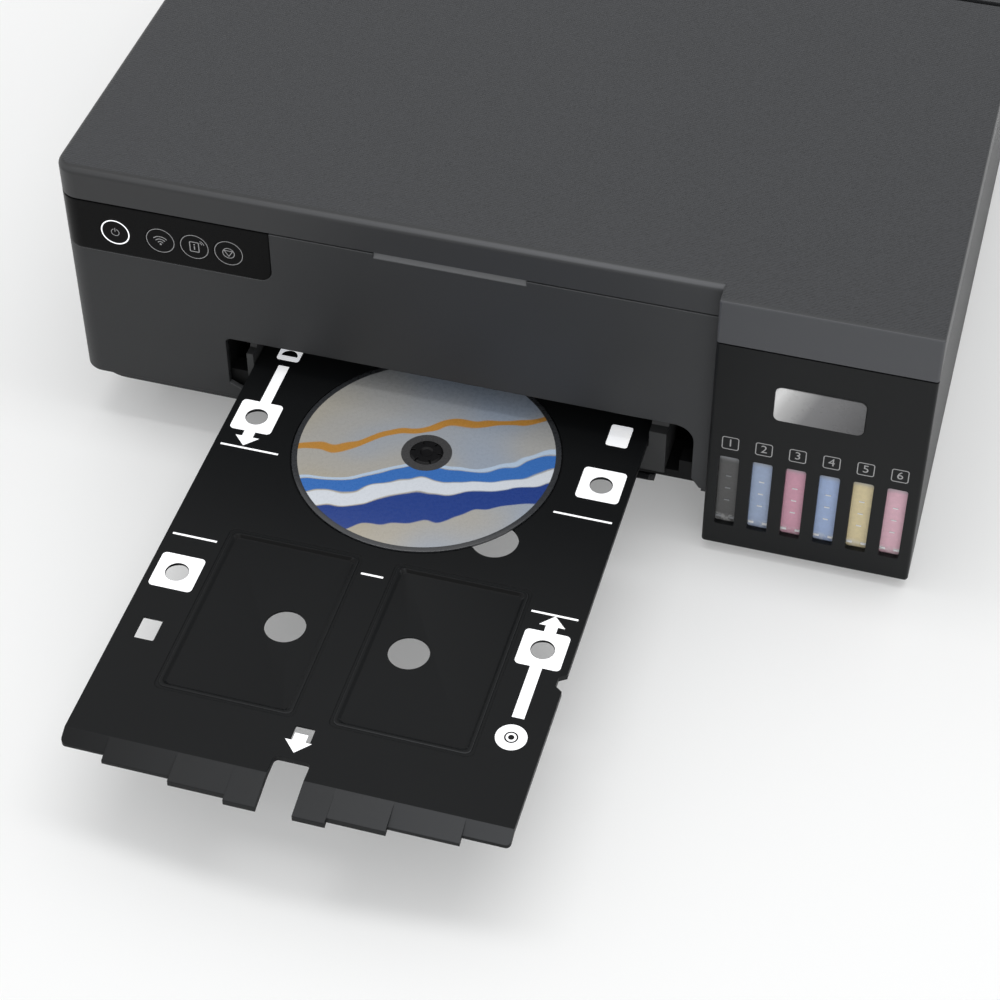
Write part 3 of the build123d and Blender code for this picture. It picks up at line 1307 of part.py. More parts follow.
waste_left = tank_left_x + 13.5
waste_right = right_x - 2 * wall - 0.6
waste_y = (web_y + 30.0, back_y - wall - 0.4)
waste_top = 58.0
waste_wall = 3.0
with BuildPart() as waste_ink_box:
    block((waste_left, waste_right), waste_y, (floor_z, waste_top))
    fillet(waste_ink_box.edges().filter_by(Axis.Z), radius=waste_wall)
    block((waste_left + waste_wall, waste_right - waste_wall),
          (waste_y[0] + waste_wall, waste_y[1] - waste_wall),
          (waste_top - 8.0, waste_top + 1.0), mode=Mode.SUBTRACT)
waste_ink_box.part.label = "waste_ink_box"
export_step(waste_ink_box.part, "parts/waste_ink_box.step")

supply_left = left_x + wall + 8.0
supply_right = -120.0
supply_y = (back_y - 92.0, back_y - wall - 0.2)
supply_bottom = front_bottom + 1.0
supply_top = 66.0
post_half = 3.0
supply_posts = (
    (left_x + undercut + 4.0, supply_y[0] + 6.0),
    (left_x + undercut + 4.0, back_y - 16.0),
    (supply_right - 8.0, supply_y[0] + 6.0),
    (supply_right - 8.0, back_y - 16.0),
)
with BuildPart() as power_supply:
    block((supply_left, supply_right), supply_y, (supply_bottom, supply_top))
    block((inlet_x - inlet_half_width, inlet_x + inlet_half_width), (supply_y[1] - 0.1, back_y - 0.4),
          (inlet_z - inlet_half_height, inlet_z + inlet_half_height))
    # the two-pin socket
    with BuildSketch(Plane.XZ.offset(-back_y)):
        with Locations((inlet_x, inlet_z)):
            SlotOverall(17.0, 9.0)
    extrude(amount=9.0, mode=Mode.SUBTRACT)
    for pin_x in (inlet_x - 3.6, inlet_x + 3.6):
        rod_y((back_y - 10.0, back_y - 2.6), pin_x, inlet_z, 1.1)
    with BuildSketch(Plane.XY.offset(floor_z)):
        with Locations(*supply_posts):
            Rectangle(2 * post_half, 2 * post_half)
    extrude(amount=supply_bottom - floor_z)
power_supply.part.label = "power_supply"
export_step(power_supply.part, "parts/power_supply.step")

board_thick = 1.6
panel_board_y = front_y + 8.4
panel_board_left = left_x + 22.0
panel_board_right = panel_right - 8.0
main_board_left = left_x + wall + 4.0
main_board_right = -140.0
main_board_y = (web_y + 40.0, back_y - 100.0)
main_board_bottom = front_bottom + 6.0
main_board_top = main_board_bottom + board_thick
main_board_posts = (
    (left_x + undercut + 4.0, main_board_y[0] + 6.0),
    (left_x + undercut + 4.0, main_board_y[1] - 6.0),
    (main_board_right - 6.0, main_board_y[0] + 6.0),
    (main_board_right - 6.0, main_board_y[1] - 6.0),
)
with BuildPart() as circuit_boards:
    # the board behind the keys, its switches and its two posts
    block((panel_board_left, panel_board_right), (panel_board_y, panel_board_y + board_thick),
          (panel_bottom + 1.0, panel_top - 4.0))
    for key_x in key_xs:
        block((key_x - key_stem_half, key_x + key_stem_half), (panel_board_y - 1.0, panel_board_y),
              (key_z - key_stem_half, key_z + key_stem_half))
    for post_x in (panel_board_left + 4.0, panel_board_right - 4.0):
        block((post_x - 1.4, post_x + 1.4), (front_y + wall, panel_board_y),
              (panel_bottom + 1.6, panel_bottom + 4.4))
    # the main board with its processor, on four posts
    block((main_board_left, main_board_right), main_board_y, (main_board_bottom, main_board_top))
    block((main_board_left + 16.0, main_board_left + 30.0), (main_board_y[0] + 6.0, main_board_y[0] + 20.0),
          (main_board_top, main_board_top + 2.4))
    with BuildSketch(Plane.XY.offset(floor_z)):
        with Locations(*main_board_posts):
            Rectangle(4.0, 4.0)
    extrude(amount=main_board_bottom - floor_z)
circuit_boards.part.label = "circuit_boards"
export_step(circuit_boards.part, "parts/circuit_boards.step")

with BuildPart() as chassis_screws:
    for side in (-1, 1):
        base_z = floor_z if side > 0 else shelf_z
        for screw_y in screw_ys:
            rod_z((base_z + plate_thick, base_z + plate_thick + screw_head_height), side * screw_x, screw_y,
                  screw_head_radius)
            rod_z((base_z - screw_depth, base_z + plate_thick), side * screw_x, screw_y, screw_radius)
chassis_screws.part.label = "chassis_screws"
export_step(chassis_screws.part, "parts/chassis_screws.step")
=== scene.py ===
import bpy
import math
from mathutils import Euler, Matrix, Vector


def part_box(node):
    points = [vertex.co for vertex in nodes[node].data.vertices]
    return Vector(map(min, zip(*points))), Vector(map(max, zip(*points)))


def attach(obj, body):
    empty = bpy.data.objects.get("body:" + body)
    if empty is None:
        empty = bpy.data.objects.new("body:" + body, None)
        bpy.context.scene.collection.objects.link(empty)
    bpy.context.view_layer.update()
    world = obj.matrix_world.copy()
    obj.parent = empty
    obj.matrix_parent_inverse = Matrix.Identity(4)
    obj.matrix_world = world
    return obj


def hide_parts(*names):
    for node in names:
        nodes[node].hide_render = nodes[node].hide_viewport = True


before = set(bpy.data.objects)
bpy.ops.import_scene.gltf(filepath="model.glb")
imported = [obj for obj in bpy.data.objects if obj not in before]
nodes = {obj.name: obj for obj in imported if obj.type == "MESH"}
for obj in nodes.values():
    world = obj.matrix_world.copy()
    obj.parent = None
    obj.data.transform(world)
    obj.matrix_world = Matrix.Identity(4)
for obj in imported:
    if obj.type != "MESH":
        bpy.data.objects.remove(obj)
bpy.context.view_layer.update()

mm = 0.001

# the same lines as in the part's source, in millimetres
body = {"front": -62.7, "tankFront": -71.8, "tankLeft": 104.5}
disc = {"x": -17.4, "y": -95.2, "radius": 60.0, "hole": 7.5, "bottom": 49.15, "top": 50.35,
        "rim": 57.4, "hub": 11.3}
tray = {"top": 50.0, "holes": ((-80.8, 1.6), (-80.8, -96.9), (79.6, 1.6), (79.6, -96.7))}
keys = {"x": (-171.6, -150.0, -133.8, -117.6), "z": 116.9}
tanks = {"count": 6, "first": 114.2, "pitch": 14.86}


# tools for modelling by hand
def freshSelection(piece=None):
    if bpy.context.object and bpy.context.object.mode != "OBJECT":
        bpy.ops.object.mode_set(mode="OBJECT")
    bpy.ops.object.select_all(action="DESELECT")
    if piece:
        piece.select_set(True)
        bpy.context.view_layer.objects.active = piece


def settle(piece):
    freshSelection(piece)
    bpy.ops.object.transform_apply(location=True, rotation=True, scale=True)
    return piece


def nameIt(name):
    piece = bpy.context.active_object
    piece.name = name
    piece.data.name = name
    return settle(piece)


def startBlock(name, low, high, unit=mm):
    freshSelection()
    centre = [(a + b) / 2 * unit for a, b in zip(low, high)]
    size = [(b - a) * unit for a, b in zip(low, high)]
    bpy.ops.mesh.primitive_cube_add(size=1, location=centre, scale=size)
    return nameIt(name)


def startRod(name, centre, radius, length, sides=48, unit=mm):
    freshSelection()
    bpy.ops.mesh.primitive_cylinder_add(
        vertices=sides, radius=radius * unit, depth=length * unit,
        location=[c * unit for c in centre])
    return nameIt(name)


def clearPick(piece, kind):
    freshSelection(piece)
    bpy.ops.object.mode_set(mode="EDIT")
    bpy.ops.mesh.select_mode(type=kind)
    bpy.ops.mesh.select_all(action="DESELECT")
    bpy.ops.object.mode_set(mode="OBJECT")


def pickFaces(piece, test):
    clearPick(piece, "FACE")
    for face in piece.data.polygons:
        face.select = bool(test(face.center / mm, face.normal))
    bpy.ops.object.mode_set(mode="EDIT")


def pickEdges(piece, test):
    clearPick(piece, "EDGE")
    points = piece.data.vertices
    for edge in piece.data.edges:
        a, b = (points[i].co / mm for i in edge.vertices)
        edge.select = bool(test((a + b) / 2, (b - a).normalized()))
    bpy.ops.object.mode_set(mode="EDIT")


def doneEditing():
    bpy.ops.object.mode_set(mode="OBJECT")


def moveFaces(piece, test, shift):
    pickFaces(piece, test)
    bpy.ops.transform.translate(value=[s * mm for s in shift])
    doneEditing()


def bevelPicked(piece, test, width, segments=3, unit=mm):
    pickEdges(piece, test)
    bpy.ops.mesh.bevel(offset=width * unit, segments=segments, affect="EDGES")
    doneEditing()
    return piece


def upright(middle, along):
    return abs(along.z) > 0.9


def carve(piece, cutter, operation="DIFFERENCE"):
    freshSelection(piece)
    tool = piece.modifiers.new("carve", "BOOLEAN")
    tool.object = cutter
    tool.operation = operation
    tool.solver = "EXACT"
    bpy.ops.object.modifier_apply(modifier="carve")
    bpy.data.objects.remove(cutter)
    return piece


def joinPieces(pieces, name):
    freshSelection(pieces[0])
    for piece in pieces[1:]:
        piece.select_set(True)
    bpy.ops.object.join()
    pieces[0].name = name
    pieces[0].data.name = name
    return pieces[0]


def copyPiece(piece, name, shift):
    freshSelection(piece)
    bpy.ops.object.duplicate(linked=False)
    twin = bpy.context.active_object
    twin.location = [s * mm for s in shift]
    twin.name = name
    twin.data.name = name
    return settle(twin)


def finishPiece(piece, material, bodyName, angle=32, replaces=()):
    freshSelection(piece)
    bpy.ops.object.mode_set(mode="EDIT")
    bpy.ops.mesh.select_all(action="SELECT")
    bpy.ops.mesh.remove_doubles(threshold=0.000002)
    bpy.ops.mesh.normals_make_consistent(inside=False)
    doneEditing()
    bpy.ops.object.shade_smooth_by_angle(angle=math.radians(angle))
    piece.data.materials.clear()
    piece.data.materials.append(material)
    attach(piece, bodyName)
    if replaces:
        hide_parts(*replaces)
    return piece


# materials, all on Object coordinates
def shade(colour, factor, plus=0.0):
    return tuple(min(1, c * factor + plus) for c in colour)


class Recipe:
    def __init__(self, name):
        self.material = bpy.data.materials.new(name)
        self.material.use_nodes = True
        self.tree = self.material.node_tree
        self.shader = self.tree.nodes["Principled BSDF"]
        self.coordinates = self.add("ShaderNodeTexCoord").outputs
        self.place = self.coordinates["Object"]

    def add(self, kind, **settings):
        node = self.tree.nodes.new(kind)
        for key, value in settings.items():
            if key in node.inputs:
                node.inputs[key].default_value = value
            else:
                setattr(node, key, value)
        return node

    def link(self, source, target):
        self.tree.links.new(source, target)

    def math(self, operation, first, second, clamp=False):
        node = self.add("ShaderNodeMath", operation=operation, use_clamp=clamp)
        for socket, value in zip(node.inputs, (first, second)):
            if isinstance(value, (int, float)):
                socket.default_value = value
            else:
                self.link(value, socket)
        return node.outputs[0]

    def times(self, first, second):
        return self.math("MULTIPLY", first, second)

    def axes(self, source=None):
        node = self.add("ShaderNodeSeparateXYZ")
        self.link(source or self.place, node.inputs[0])
        return node.outputs

    def facing(self):
        return self.axes(self.coordinates["Normal"])

    def mapped(self, location=(0, 0, 0), rotation=(0, 0, 0), scale=(1, 1, 1), source=None):
        node = self.add("ShaderNodeMapping", Location=location, Rotation=rotation, Scale=scale)
        self.link(source or self.place, node.inputs["Vector"])
        return node.outputs[0]

    def noise(self, scale, detail=2.0, rough=0.5, source=None):
        node = self.add("ShaderNodeTexNoise", Scale=scale, Detail=detail, Roughness=rough)
        self.link(source or self.place, node.inputs["Vector"])
        return node.outputs["Fac"]

    def ramp(self, source, stops, ease="LINEAR"):
        node = self.add("ShaderNodeValToRGB")
        node.color_ramp.interpolation = ease
        while len(node.color_ramp.elements) < len(stops):
            node.color_ramp.elements.new(0.5)
        for element, (position, colour) in zip(node.color_ramp.elements, stops):
            element.position = position
            element.color = (*colour, 1)
        self.link(source, node.inputs[0])
        return node.outputs["Color"]

    def range(self, source, low, high, toLow=0.0, toHigh=1.0, smooth=False):
        limits = {"From Min": low, "From Max": high, "To Min": toLow, "To Max": toHigh}
        node = self.add("ShaderNodeMapRange", **limits)
        node.interpolation_type = "SMOOTHSTEP" if smooth else "LINEAR"
        self.link(source, node.inputs["Value"])
        return node.outputs["Result"]

    def window(self, source, rise, fall):
        # 1 between the two ramps, 0 outside them
        return self.times(self.range(source, *rise), self.range(source, *fall))

    def mix(self, factor, first, second, blend="MIX"):
        node = self.add("ShaderNodeMix", data_type="RGBA", blend_type=blend)
        sockets = (node.inputs[0], node.inputs[6], node.inputs[7])
        for socket, value in zip(sockets, (factor, first, second)):
            if isinstance(value, (int, float)):
                socket.default_value = value
            elif isinstance(value, tuple):
                socket.default_value = (*value, 1)
            else:
                self.link(value, socket)
        return node.outputs[2]

    def softEdge(self, radius):
        return self.add("ShaderNodeBevel", samples=4, Radius=radius).outputs[0]

    def set(self, **values):
        names = {"rough": "Roughness", "metal": "Metallic", "specular": "Specular IOR Level",
                 "coat": "Coat Weight", "coatRough": "Coat Roughness", "glow": "Emission Strength"}
        for key, value in values.items():
            self.shader.inputs[names[key]].default_value = value

    def paint(self, colour):
        self.link(colour, self.shader.inputs["Base Color"])

    def roughen(self, source, smoothest, roughest, low=0.3, high=0.7):
        spread = self.range(source, low, high, smoothest, roughest)
        self.link(spread, self.shader.inputs["Roughness"])

    def bump(self, height, distance, strength=1.0, under=None):
        node = self.add("ShaderNodeBump", Distance=distance, Strength=strength)
        self.link(height, node.inputs["Height"])
        if under is not None:
            self.link(under, node.inputs["Normal"])
        self.link(node.outputs[0], self.shader.inputs["Normal"])
        return node.outputs[0]


def mouldedPlastic(name, colour, rough, specular, grain, soft, depth=0.00002, spread=0.06,
                   crestHighlight=None, lightSweep=None, shadedGroove=False):
    look = {"cloud": 14, "left": -0.18, "right": 0.10, "joint": (0.0004, 0.0004, 0.0004)}
    r = Recipe(name)
    r.set(specular=specular)
    tint = r.ramp(r.noise(look["cloud"], 3), [
        (0.3, shade(colour, 1 - spread)), (0.7, shade(colour, 1 + spread, 0.0008))])
    if lightSweep:
        # painted shade and light: a little darker on the left, lighter on the right
        low, high = ((level, level, level) for level in lightSweep)
        across = r.range(r.axes()[0], look["left"], look["right"])
        tint = r.mix(1.0, tint, r.mix(across, low, high), "MULTIPLY")
    fine = r.noise(grain, 2)
    r.roughen(fine, rough - 0.04, rough + 0.05)
    under = r.softEdge(soft)
    bent = r.axes(under)
    if crestHighlight:
        # painted highlight: the rounded edges, where they turn from up to the side, are painted
        # lighter
        tint = r.mix(r.window(bent[2], (0.2, 0.5), (0.97, 0.85)), tint, crestHighlight)
    if shadedGroove:
        # painted shade: where the rounded rim falls away on the right and below, it is painted near
        # black, as the shaded joint round the panel
        rim = r.math("MAXIMUM", r.range(bent[0], 0.12, 0.35), r.range(bent[2], -0.12, -0.35),
                     clamp=True)
        tint = r.mix(rim, tint, look["joint"])
    r.paint(tint)
    r.bump(fine, depth, 0.6, under)
    return r.material


def coverPlastic():
    look = {"colour": (0.0226, 0.0238, 0.0262), "raised": 1.8, "tank": (0.063, 0.0655, 0.072),
            "smoothShadedLeft": (0.0255, 0.0262, 0.0275), "smoothLitRight": (0.041, 0.0428, 0.046),
            "crestHighlightLeft": (0.042, 0.043, 0.045), "crestHighlightRight": (0.105, 0.108, 0.115),
            "smoothLightSpan": (-0.18, 0.10), "crestHighlightSpan": (-0.19, 0.05),
            "rough": 0.42, "rougher": 0.16, "cell": 520.0, "stretch": 2.2, "rows": 215.0,
            "slant": -40, "rowShare": 0.8, "depth": 0.0003, "margin": (3.0, 4.5)}
    r = Recipe("coverGrain")
    r.set(specular=0.36)
    x, y = r.axes()[:2]
    facing = r.facing()
    tankEdge = (body["tankFront"] - 1.5) * mm
    tankSide = r.range(x, (body["tankLeft"] - 0.4) * mm, (body["tankLeft"] + 0.2) * mm)
    # the grain lies on the flat top and stops behind the front edge
    edgeLine = r.range(tankSide, 0.0, 1.0, body["front"] * mm, tankEdge)
    behindEdge = r.range(r.math("SUBTRACT", y, edgeLine), *(m * mm for m in look["margin"]))
    grainy = r.times(r.range(facing[2], 0.95, 0.99), behindEdge)
    # short slanted strokes in rows, as in a pressed leather mould
    rows = r.mapped(rotation=(0, 0, math.radians(look["slant"])))
    cells = r.add("ShaderNodeTexVoronoi", feature="SMOOTH_F1", Scale=look["cell"], Smoothness=0.5)
    r.link(r.mapped(scale=(1.0, look["stretch"], 1.0), source=rows), cells.inputs["Vector"])
    strokes = r.add("ShaderNodeTexWave", wave_type="BANDS", bands_direction="Y",
                    Scale=look["rows"], Distortion=2.0, Detail=1.0, **{"Detail Scale": 2.0})
    r.link(rows, strokes.inputs["Vector"])
    wave = r.times(strokes.outputs["Fac"], look["rowShare"])
    pressed = r.times(r.math("ADD", cells.outputs["Distance"], wave), grainy)
    raised = shade(look["colour"], look["raised"])
    tint = r.mix(r.range(pressed, 0.25, 0.95), look["colour"], raised)
    # painted shade and light: the smooth front band is darker on the left and lighter on the right
    smooth = r.mix(r.range(x, *look["smoothLightSpan"]), look["smoothShadedLeft"], look["smoothLitRight"])
    crestHighlight = r.mix(r.range(x, *look["crestHighlightSpan"]), look["crestHighlightLeft"], look["crestHighlightRight"])
    # painted highlight along the rounded front rim, brighter towards the right
    bent = r.window(facing[2], (0.35, 0.6), (0.97, 0.82))
    bent = r.times(bent, r.range(facing[1], -0.1, -0.4))
    colour = r.mix(bent, r.mix(grainy, smooth, tint), crestHighlight)
    # painted light: the tank cover's front face is painted lighter than the main cover's front
    litTankFace = r.times(tankSide, r.range(facing[1], -0.3, -0.75))
    r.paint(r.mix(litTankFace, colour, look["tank"]))
    r.roughen(pressed, look["rough"], look["rough"] + look["rougher"], 0.0, 1.0)
    under = r.bump(r.noise(1400, 2), 0.00002, 0.3)
    r.bump(pressed, look["depth"], 0.9, under)
    return r.material


def trayShell():
    look = {"dark": (0.0062, 0.0068, 0.0074), "deep": (0.0008, 0.0009, 0.0010),
            "litLeft": (0.010, 0.0105, 0.011), "litRight": (0.052, 0.054, 0.057),
            "left": -111.0, "right": 75.0, "seatMiddle": (-206.6, -208.6), "soft": 0.0005}
    r = Recipe("trayShell")
    r.set(specular=0.14)
    x, y = r.axes()[:2]
    facing = r.facing()
    # bent lips catch more light than the flat faces
    lips = r.window(facing[2], (0.992, 0.97), (0.80, 0.86))
    # a slope that looks forward is lit in front of the seats' middle, and lies in shade behind it
    forward = r.window(facing[2], (0.985, 0.95), (0.2, 0.4))
    forward = r.times(forward, r.range(facing[1], -0.1, -0.3))
    inFront = r.range(y, *(m * mm for m in look["seatMiddle"]))
    bent = r.math("MAXIMUM", lips, r.times(forward, inFront))
    farSlope = r.times(forward, r.math("SUBTRACT", 1.0, inFront))
    across = r.range(x, look["left"] * mm, look["right"] * mm)
    lit = r.mix(across, look["litLeft"], look["litRight"])
    flat = r.ramp(r.noise(14, 3), [
        (0.3, shade(look["dark"], 0.95)), (0.7, shade(look["dark"], 1.08))])
    flat = r.mix(farSlope, flat, look["deep"])
    r.paint(r.mix(bent, flat, lit))
    fine = r.noise(1200, 2)
    r.roughen(fine, 0.37, 0.45)
    r.bump(fine, 0.00002, 0.6, r.softEdge(look["soft"]))
    return r.material


def discPrint():
    look = {"ground": ((0.28, (0.47, 0.40, 0.26)), (0.45, (0.45, 0.42, 0.36)),
                       (0.6, (0.35, 0.40, 0.48)), (0.75, (0.50, 0.52, 0.56))),
            "sky": (0.30, 0.38, 0.50), "slope": -0.42, "wobble": 0.030,
            "rim": (0.035, 0.037, 0.041), "centre": (0.06, 0.06, 0.062), "blur": 0.15}
    # each ribbon's lower and upper line, in metres, and its colour
    ribbons = ((-0.030, -0.016, (0.02, 0.055, 0.26)), (-0.016, -0.008, (0.72, 0.76, 0.82)),
               (-0.008, 0.001, (0.045, 0.17, 0.52)), (0.001, 0.004, (0.50, 0.62, 0.78)),
               (0.026, 0.031, (0.52, 0.25, 0.05)))
    r = Recipe("discPrint")
    r.set(specular=0.5, coat=0.25, coatRough=0.12)
    centred = r.mapped(location=(-disc["x"] * mm, -disc["y"] * mm, 0))
    across, along = r.axes(centred)[:2]
    level = r.add("ShaderNodeCombineXYZ")
    r.link(across, level.inputs[0])
    r.link(along, level.inputs[1])
    away = r.add("ShaderNodeVectorMath", operation="LENGTH")
    r.link(level.outputs[0], away.inputs[0])
    radius = away.outputs["Value"]
    # a soft ground, tan running into grey blue
    picture = r.ramp(r.noise(13, 1, 0.4, centred), look["ground"], "EASE")
    picture = r.mix(r.range(along, -0.055, 0.06, 0.0, 0.45), picture, look["sky"])
    # wavy ribbons across it
    wobble = r.times(r.noise(26, 2, 0.5, centred), look["wobble"])
    line = r.math("ADD", r.math("ADD", r.times(across, look["slope"]), along), wobble)
    for low, high, colour in ribbons:
        band = r.window(line, (low, low + 0.0006), (high, high - 0.0006))
        picture = r.mix(band, picture, colour)
    ring = r.range(radius, disc["rim"] * mm, (disc["rim"] + look["blur"]) * mm)
    picture = r.mix(ring, picture, look["rim"])
    centre = r.range(radius, (disc["hub"] + look["blur"]) * mm, disc["hub"] * mm)
    picture = r.mix(centre, picture, look["centre"])
    r.paint(picture)
    r.roughen(r.noise(500, 2, 0.5, centred), 0.24, 0.32)
    r.bump(r.noise(700, 2, 0.5, centred), 0.00001, 0.3)
    return r.material


def tankShade(name, ink):
    look = {"inkLevel": 56.5, "frost": (0.30, 0.31, 0.33), "bottom": 22.5, "wave": 0.0016}
    r = Recipe(name)
    r.set(specular=0.5, rough=0.3)
    height = r.math("ADD", r.axes()[2], r.times(r.noise(180, 2), look["wave"]))
    full, bottom = look["inkLevel"], look["bottom"]
    filled = r.range(height, (full + 2.4) * mm, (full - 1.4) * mm, smooth=True)
    empty = tuple(min(1, 0.25 * c + 0.75 * f) for c, f in zip(ink, look["frost"]))
    speckle = r.range(r.noise(620, 2), 0.45, 0.62)
    mottled = r.mix(r.times(speckle, 0.16), ink, shade(ink, 1.35, 0.03))
    colour = r.mix(filled, empty, mottled)
    # a paler foot, where the moulded floor shows
    foot = r.range(height, (bottom + 1.2) * mm, (bottom - 1.2) * mm, smooth=True)
    foot = r.times(foot, r.math("ADD", r.times(speckle, 0.6), 0.2))
    r.paint(r.mix(foot, colour, shade(ink, 0.5, 0.36)))
    r.roughen(speckle, 0.28, 0.42, 0, 1)
    r.bump(r.noise(420, 3), 0.00006, 0.5)
    return r.material


def brushedSteel(name, colour, rough):
    r = Recipe(name)
    r.set(metal=1.0)
    streaks = r.noise(90, 4, 0.6, r.mapped(scale=(1, 1, 24)))
    r.paint(r.ramp(streaks, [(0.3, shade(colour, 0.86)), (0.7, colour)]))
    r.roughen(streaks, rough - 0.05, rough + 0.08)
    r.bump(streaks, 0.00002, 0.4)
    return r.material


def rubberSkin(name, colour):
    r = Recipe(name)
    r.set(specular=0.3)
    worn = r.noise(60, 4, 0.6)
    r.paint(r.ramp(worn, [(0.3, colour), (0.75, shade(colour, 1.6, 0.004))]))
    r.roughen(worn, 0.6, 0.78)
    r.bump(r.noise(1800, 3), 0.00004, 0.6)
    return r.material


def boardGreen():
    look = {"field": (0.012, 0.085, 0.035, 1), "fieldToo": (0.016, 0.11, 0.045, 1),
            "trace": (0.05, 0.20, 0.09, 1), "scale": 60.0, "traceWidth": 0.012}
    r = Recipe("boardGreen")
    r.set(specular=0.5)
    traces = r.add("ShaderNodeTexBrick", offset=0.5, Scale=look["scale"], Color1=look["field"],
                   Color2=look["fieldToo"], Mortar=look["trace"],
                   **{"Mortar Size": look["traceWidth"]})
    r.link(r.place, traces.inputs["Vector"])
    r.paint(traces.outputs["Color"])
    r.roughen(r.noise(300, 2), 0.3, 0.42)
    r.bump(traces.outputs["Fac"], 0.00005, 0.4)
    return r.material


def badgeFoil():
    # painted reflection: the badge is painted bright on the left and dark on the right
    look = {"lean": -0.45, "left": 0.0875, "right": 0.1330,
            "paintedSheen": ((0.0, (0.74, 0.74, 0.74)), (0.10, (0.50, 0.50, 0.50)),
                      (0.36, (0.19, 0.19, 0.195)), (1.0, (0.06, 0.06, 0.063)))}
    r = Recipe("badgeFoil")
    r.set(metal=0.0, specular=0.4, coat=0.1, coatRough=0.1)
    axes = r.axes()
    across = r.math("ADD", axes[0], r.times(axes[2], look["lean"]))
    r.paint(r.ramp(r.range(across, look["left"], look["right"]), look["paintedSheen"]))
    r.roughen(r.noise(200, 2), 0.26, 0.34)
    r.bump(r.noise(900, 2), 0.00001, 0.3)
    return r.material


def printedMark(name, colour, glow=0.0):
    r = Recipe(name)
    r.set(specular=0.3)
    patchy = r.noise(140, 3)
    r.paint(r.ramp(patchy, [(0.3, shade(colour, 0.97)), (0.7, colour)]))
    r.roughen(patchy, 0.42, 0.52)
    # painted light: a glow keeps the marks white where shade falls on them
    if glow:
        light = r.ramp(patchy, [(0.3, (0.9, 0.93, 1.0)), (0.7, (1, 1, 1))])
        r.link(light, r.shader.inputs["Emission Color"])
        r.set(glow=glow)
    r.bump(patchy, 0.00001, 0.2)
    return r.material


def ringGlow():
    # a lit line in the middle of the ring, fading to both sides
    look = {"inner": 6.2, "bright": 6.42, "full": 6.62, "outer": 6.9, "glow": 1.1,
            "off": (0.01, 0.01, 0.01), "on": (0.9, 0.92, 0.95), "light": (0.95, 0.97, 1.0)}
    r = Recipe("lightRing")
    r.set(specular=0.2, rough=0.4, glow=look["glow"])
    axes = r.axes(r.mapped(location=(-keys["x"][0] * mm, 0, -keys["z"] * mm)))
    squares = r.math("ADD", r.times(axes[0], axes[0]), r.times(axes[2], axes[2]))
    lit = r.window(r.math("POWER", squares, 0.5), (look["inner"] * mm, look["bright"] * mm),
                   (look["outer"] * mm, look["full"] * mm))
    r.paint(r.mix(lit, look["off"], look["on"]))
    r.link(r.mix(lit, (0.0, 0.0, 0.0), look["light"]), r.shader.inputs["Emission Color"])
    r.bump(r.noise(300, 2), 0.00001, 0.2)
    return r.material


print("materials")
plastics = {
    # the case grey is painted darker on the left and lighter on the right, with a painted highlight
    # along its rounded edges
    "case": {"name": "caseGrey", "colour": (0.029, 0.0302, 0.032), "rough": 0.46,
             "specular": 0.30, "grain": 1300, "soft": 0.0008, "spread": 0.04,
             "crestHighlight": (0.14, 0.144, 0.15), "lightSweep": (0.76, 1.42)},
    "caseSide": {"name": "caseSide", "colour": (0.024, 0.025, 0.027), "rough": 0.46,
                 "specular": 0.34, "grain": 1300, "soft": 0.0005, "spread": 0.04},
    "tankFront": {"name": "tankFrontBlack", "colour": (0.0062, 0.0069, 0.0074), "rough": 0.38,
                  "specular": 0.18, "grain": 1500, "soft": 0.0005, "depth": 0.000012,
                  "spread": 0.05},
    # the panel carries painted shade in the joint round it
    "panel": {"name": "panelGloss", "colour": (0.0033, 0.0033, 0.0035), "rough": 0.30,
              "specular": 0.07, "grain": 1500, "soft": 0.0012, "depth": 0.000004,
              "spread": 0.04, "shadedGroove": True},
    "keyTop": {"name": "keyGloss", "colour": (0.0032, 0.0032, 0.0034), "rough": 0.30,
               "specular": 0.07, "grain": 1500, "soft": 0.0003, "depth": 0.000004,
               "spread": 0.04},
    "tray": {"name": "trayBlack", "colour": (0.0062, 0.0068, 0.0074), "rough": 0.40,
             "specular": 0.16, "grain": 1200, "soft": 0.0005, "spread": 0.05},
    "inner": {"name": "innerBlack", "colour": (0.0055, 0.0057, 0.0060), "rough": 0.5,
              "specular": 0.13, "grain": 900, "soft": 0.0004, "depth": 0.00003, "spread": 0.08},
    "guide": {"name": "guideGrey", "colour": (0.034, 0.035, 0.036), "rough": 0.5,
              "specular": 0.3, "grain": 900, "soft": 0.0005, "depth": 0.00003},
    "hub": {"name": "hubBlack", "colour": (0.006, 0.006, 0.0068), "rough": 0.4,
            "specular": 0.2, "grain": 900, "soft": 0.0004},
    "pale": {"name": "palePlastic", "colour": (0.62, 0.62, 0.58), "rough": 0.4,
             "specular": 0.4, "grain": 700, "soft": 0.0004, "depth": 0.00003, "spread": 0.05},
    "blackPart": {"name": "blackPart", "colour": (0.011, 0.011, 0.0115), "rough": 0.44,
                  "specular": 0.3, "grain": 1000, "soft": 0.0004},
}
looks = {key: mouldedPlastic(**values) for key, values in plastics.items()}
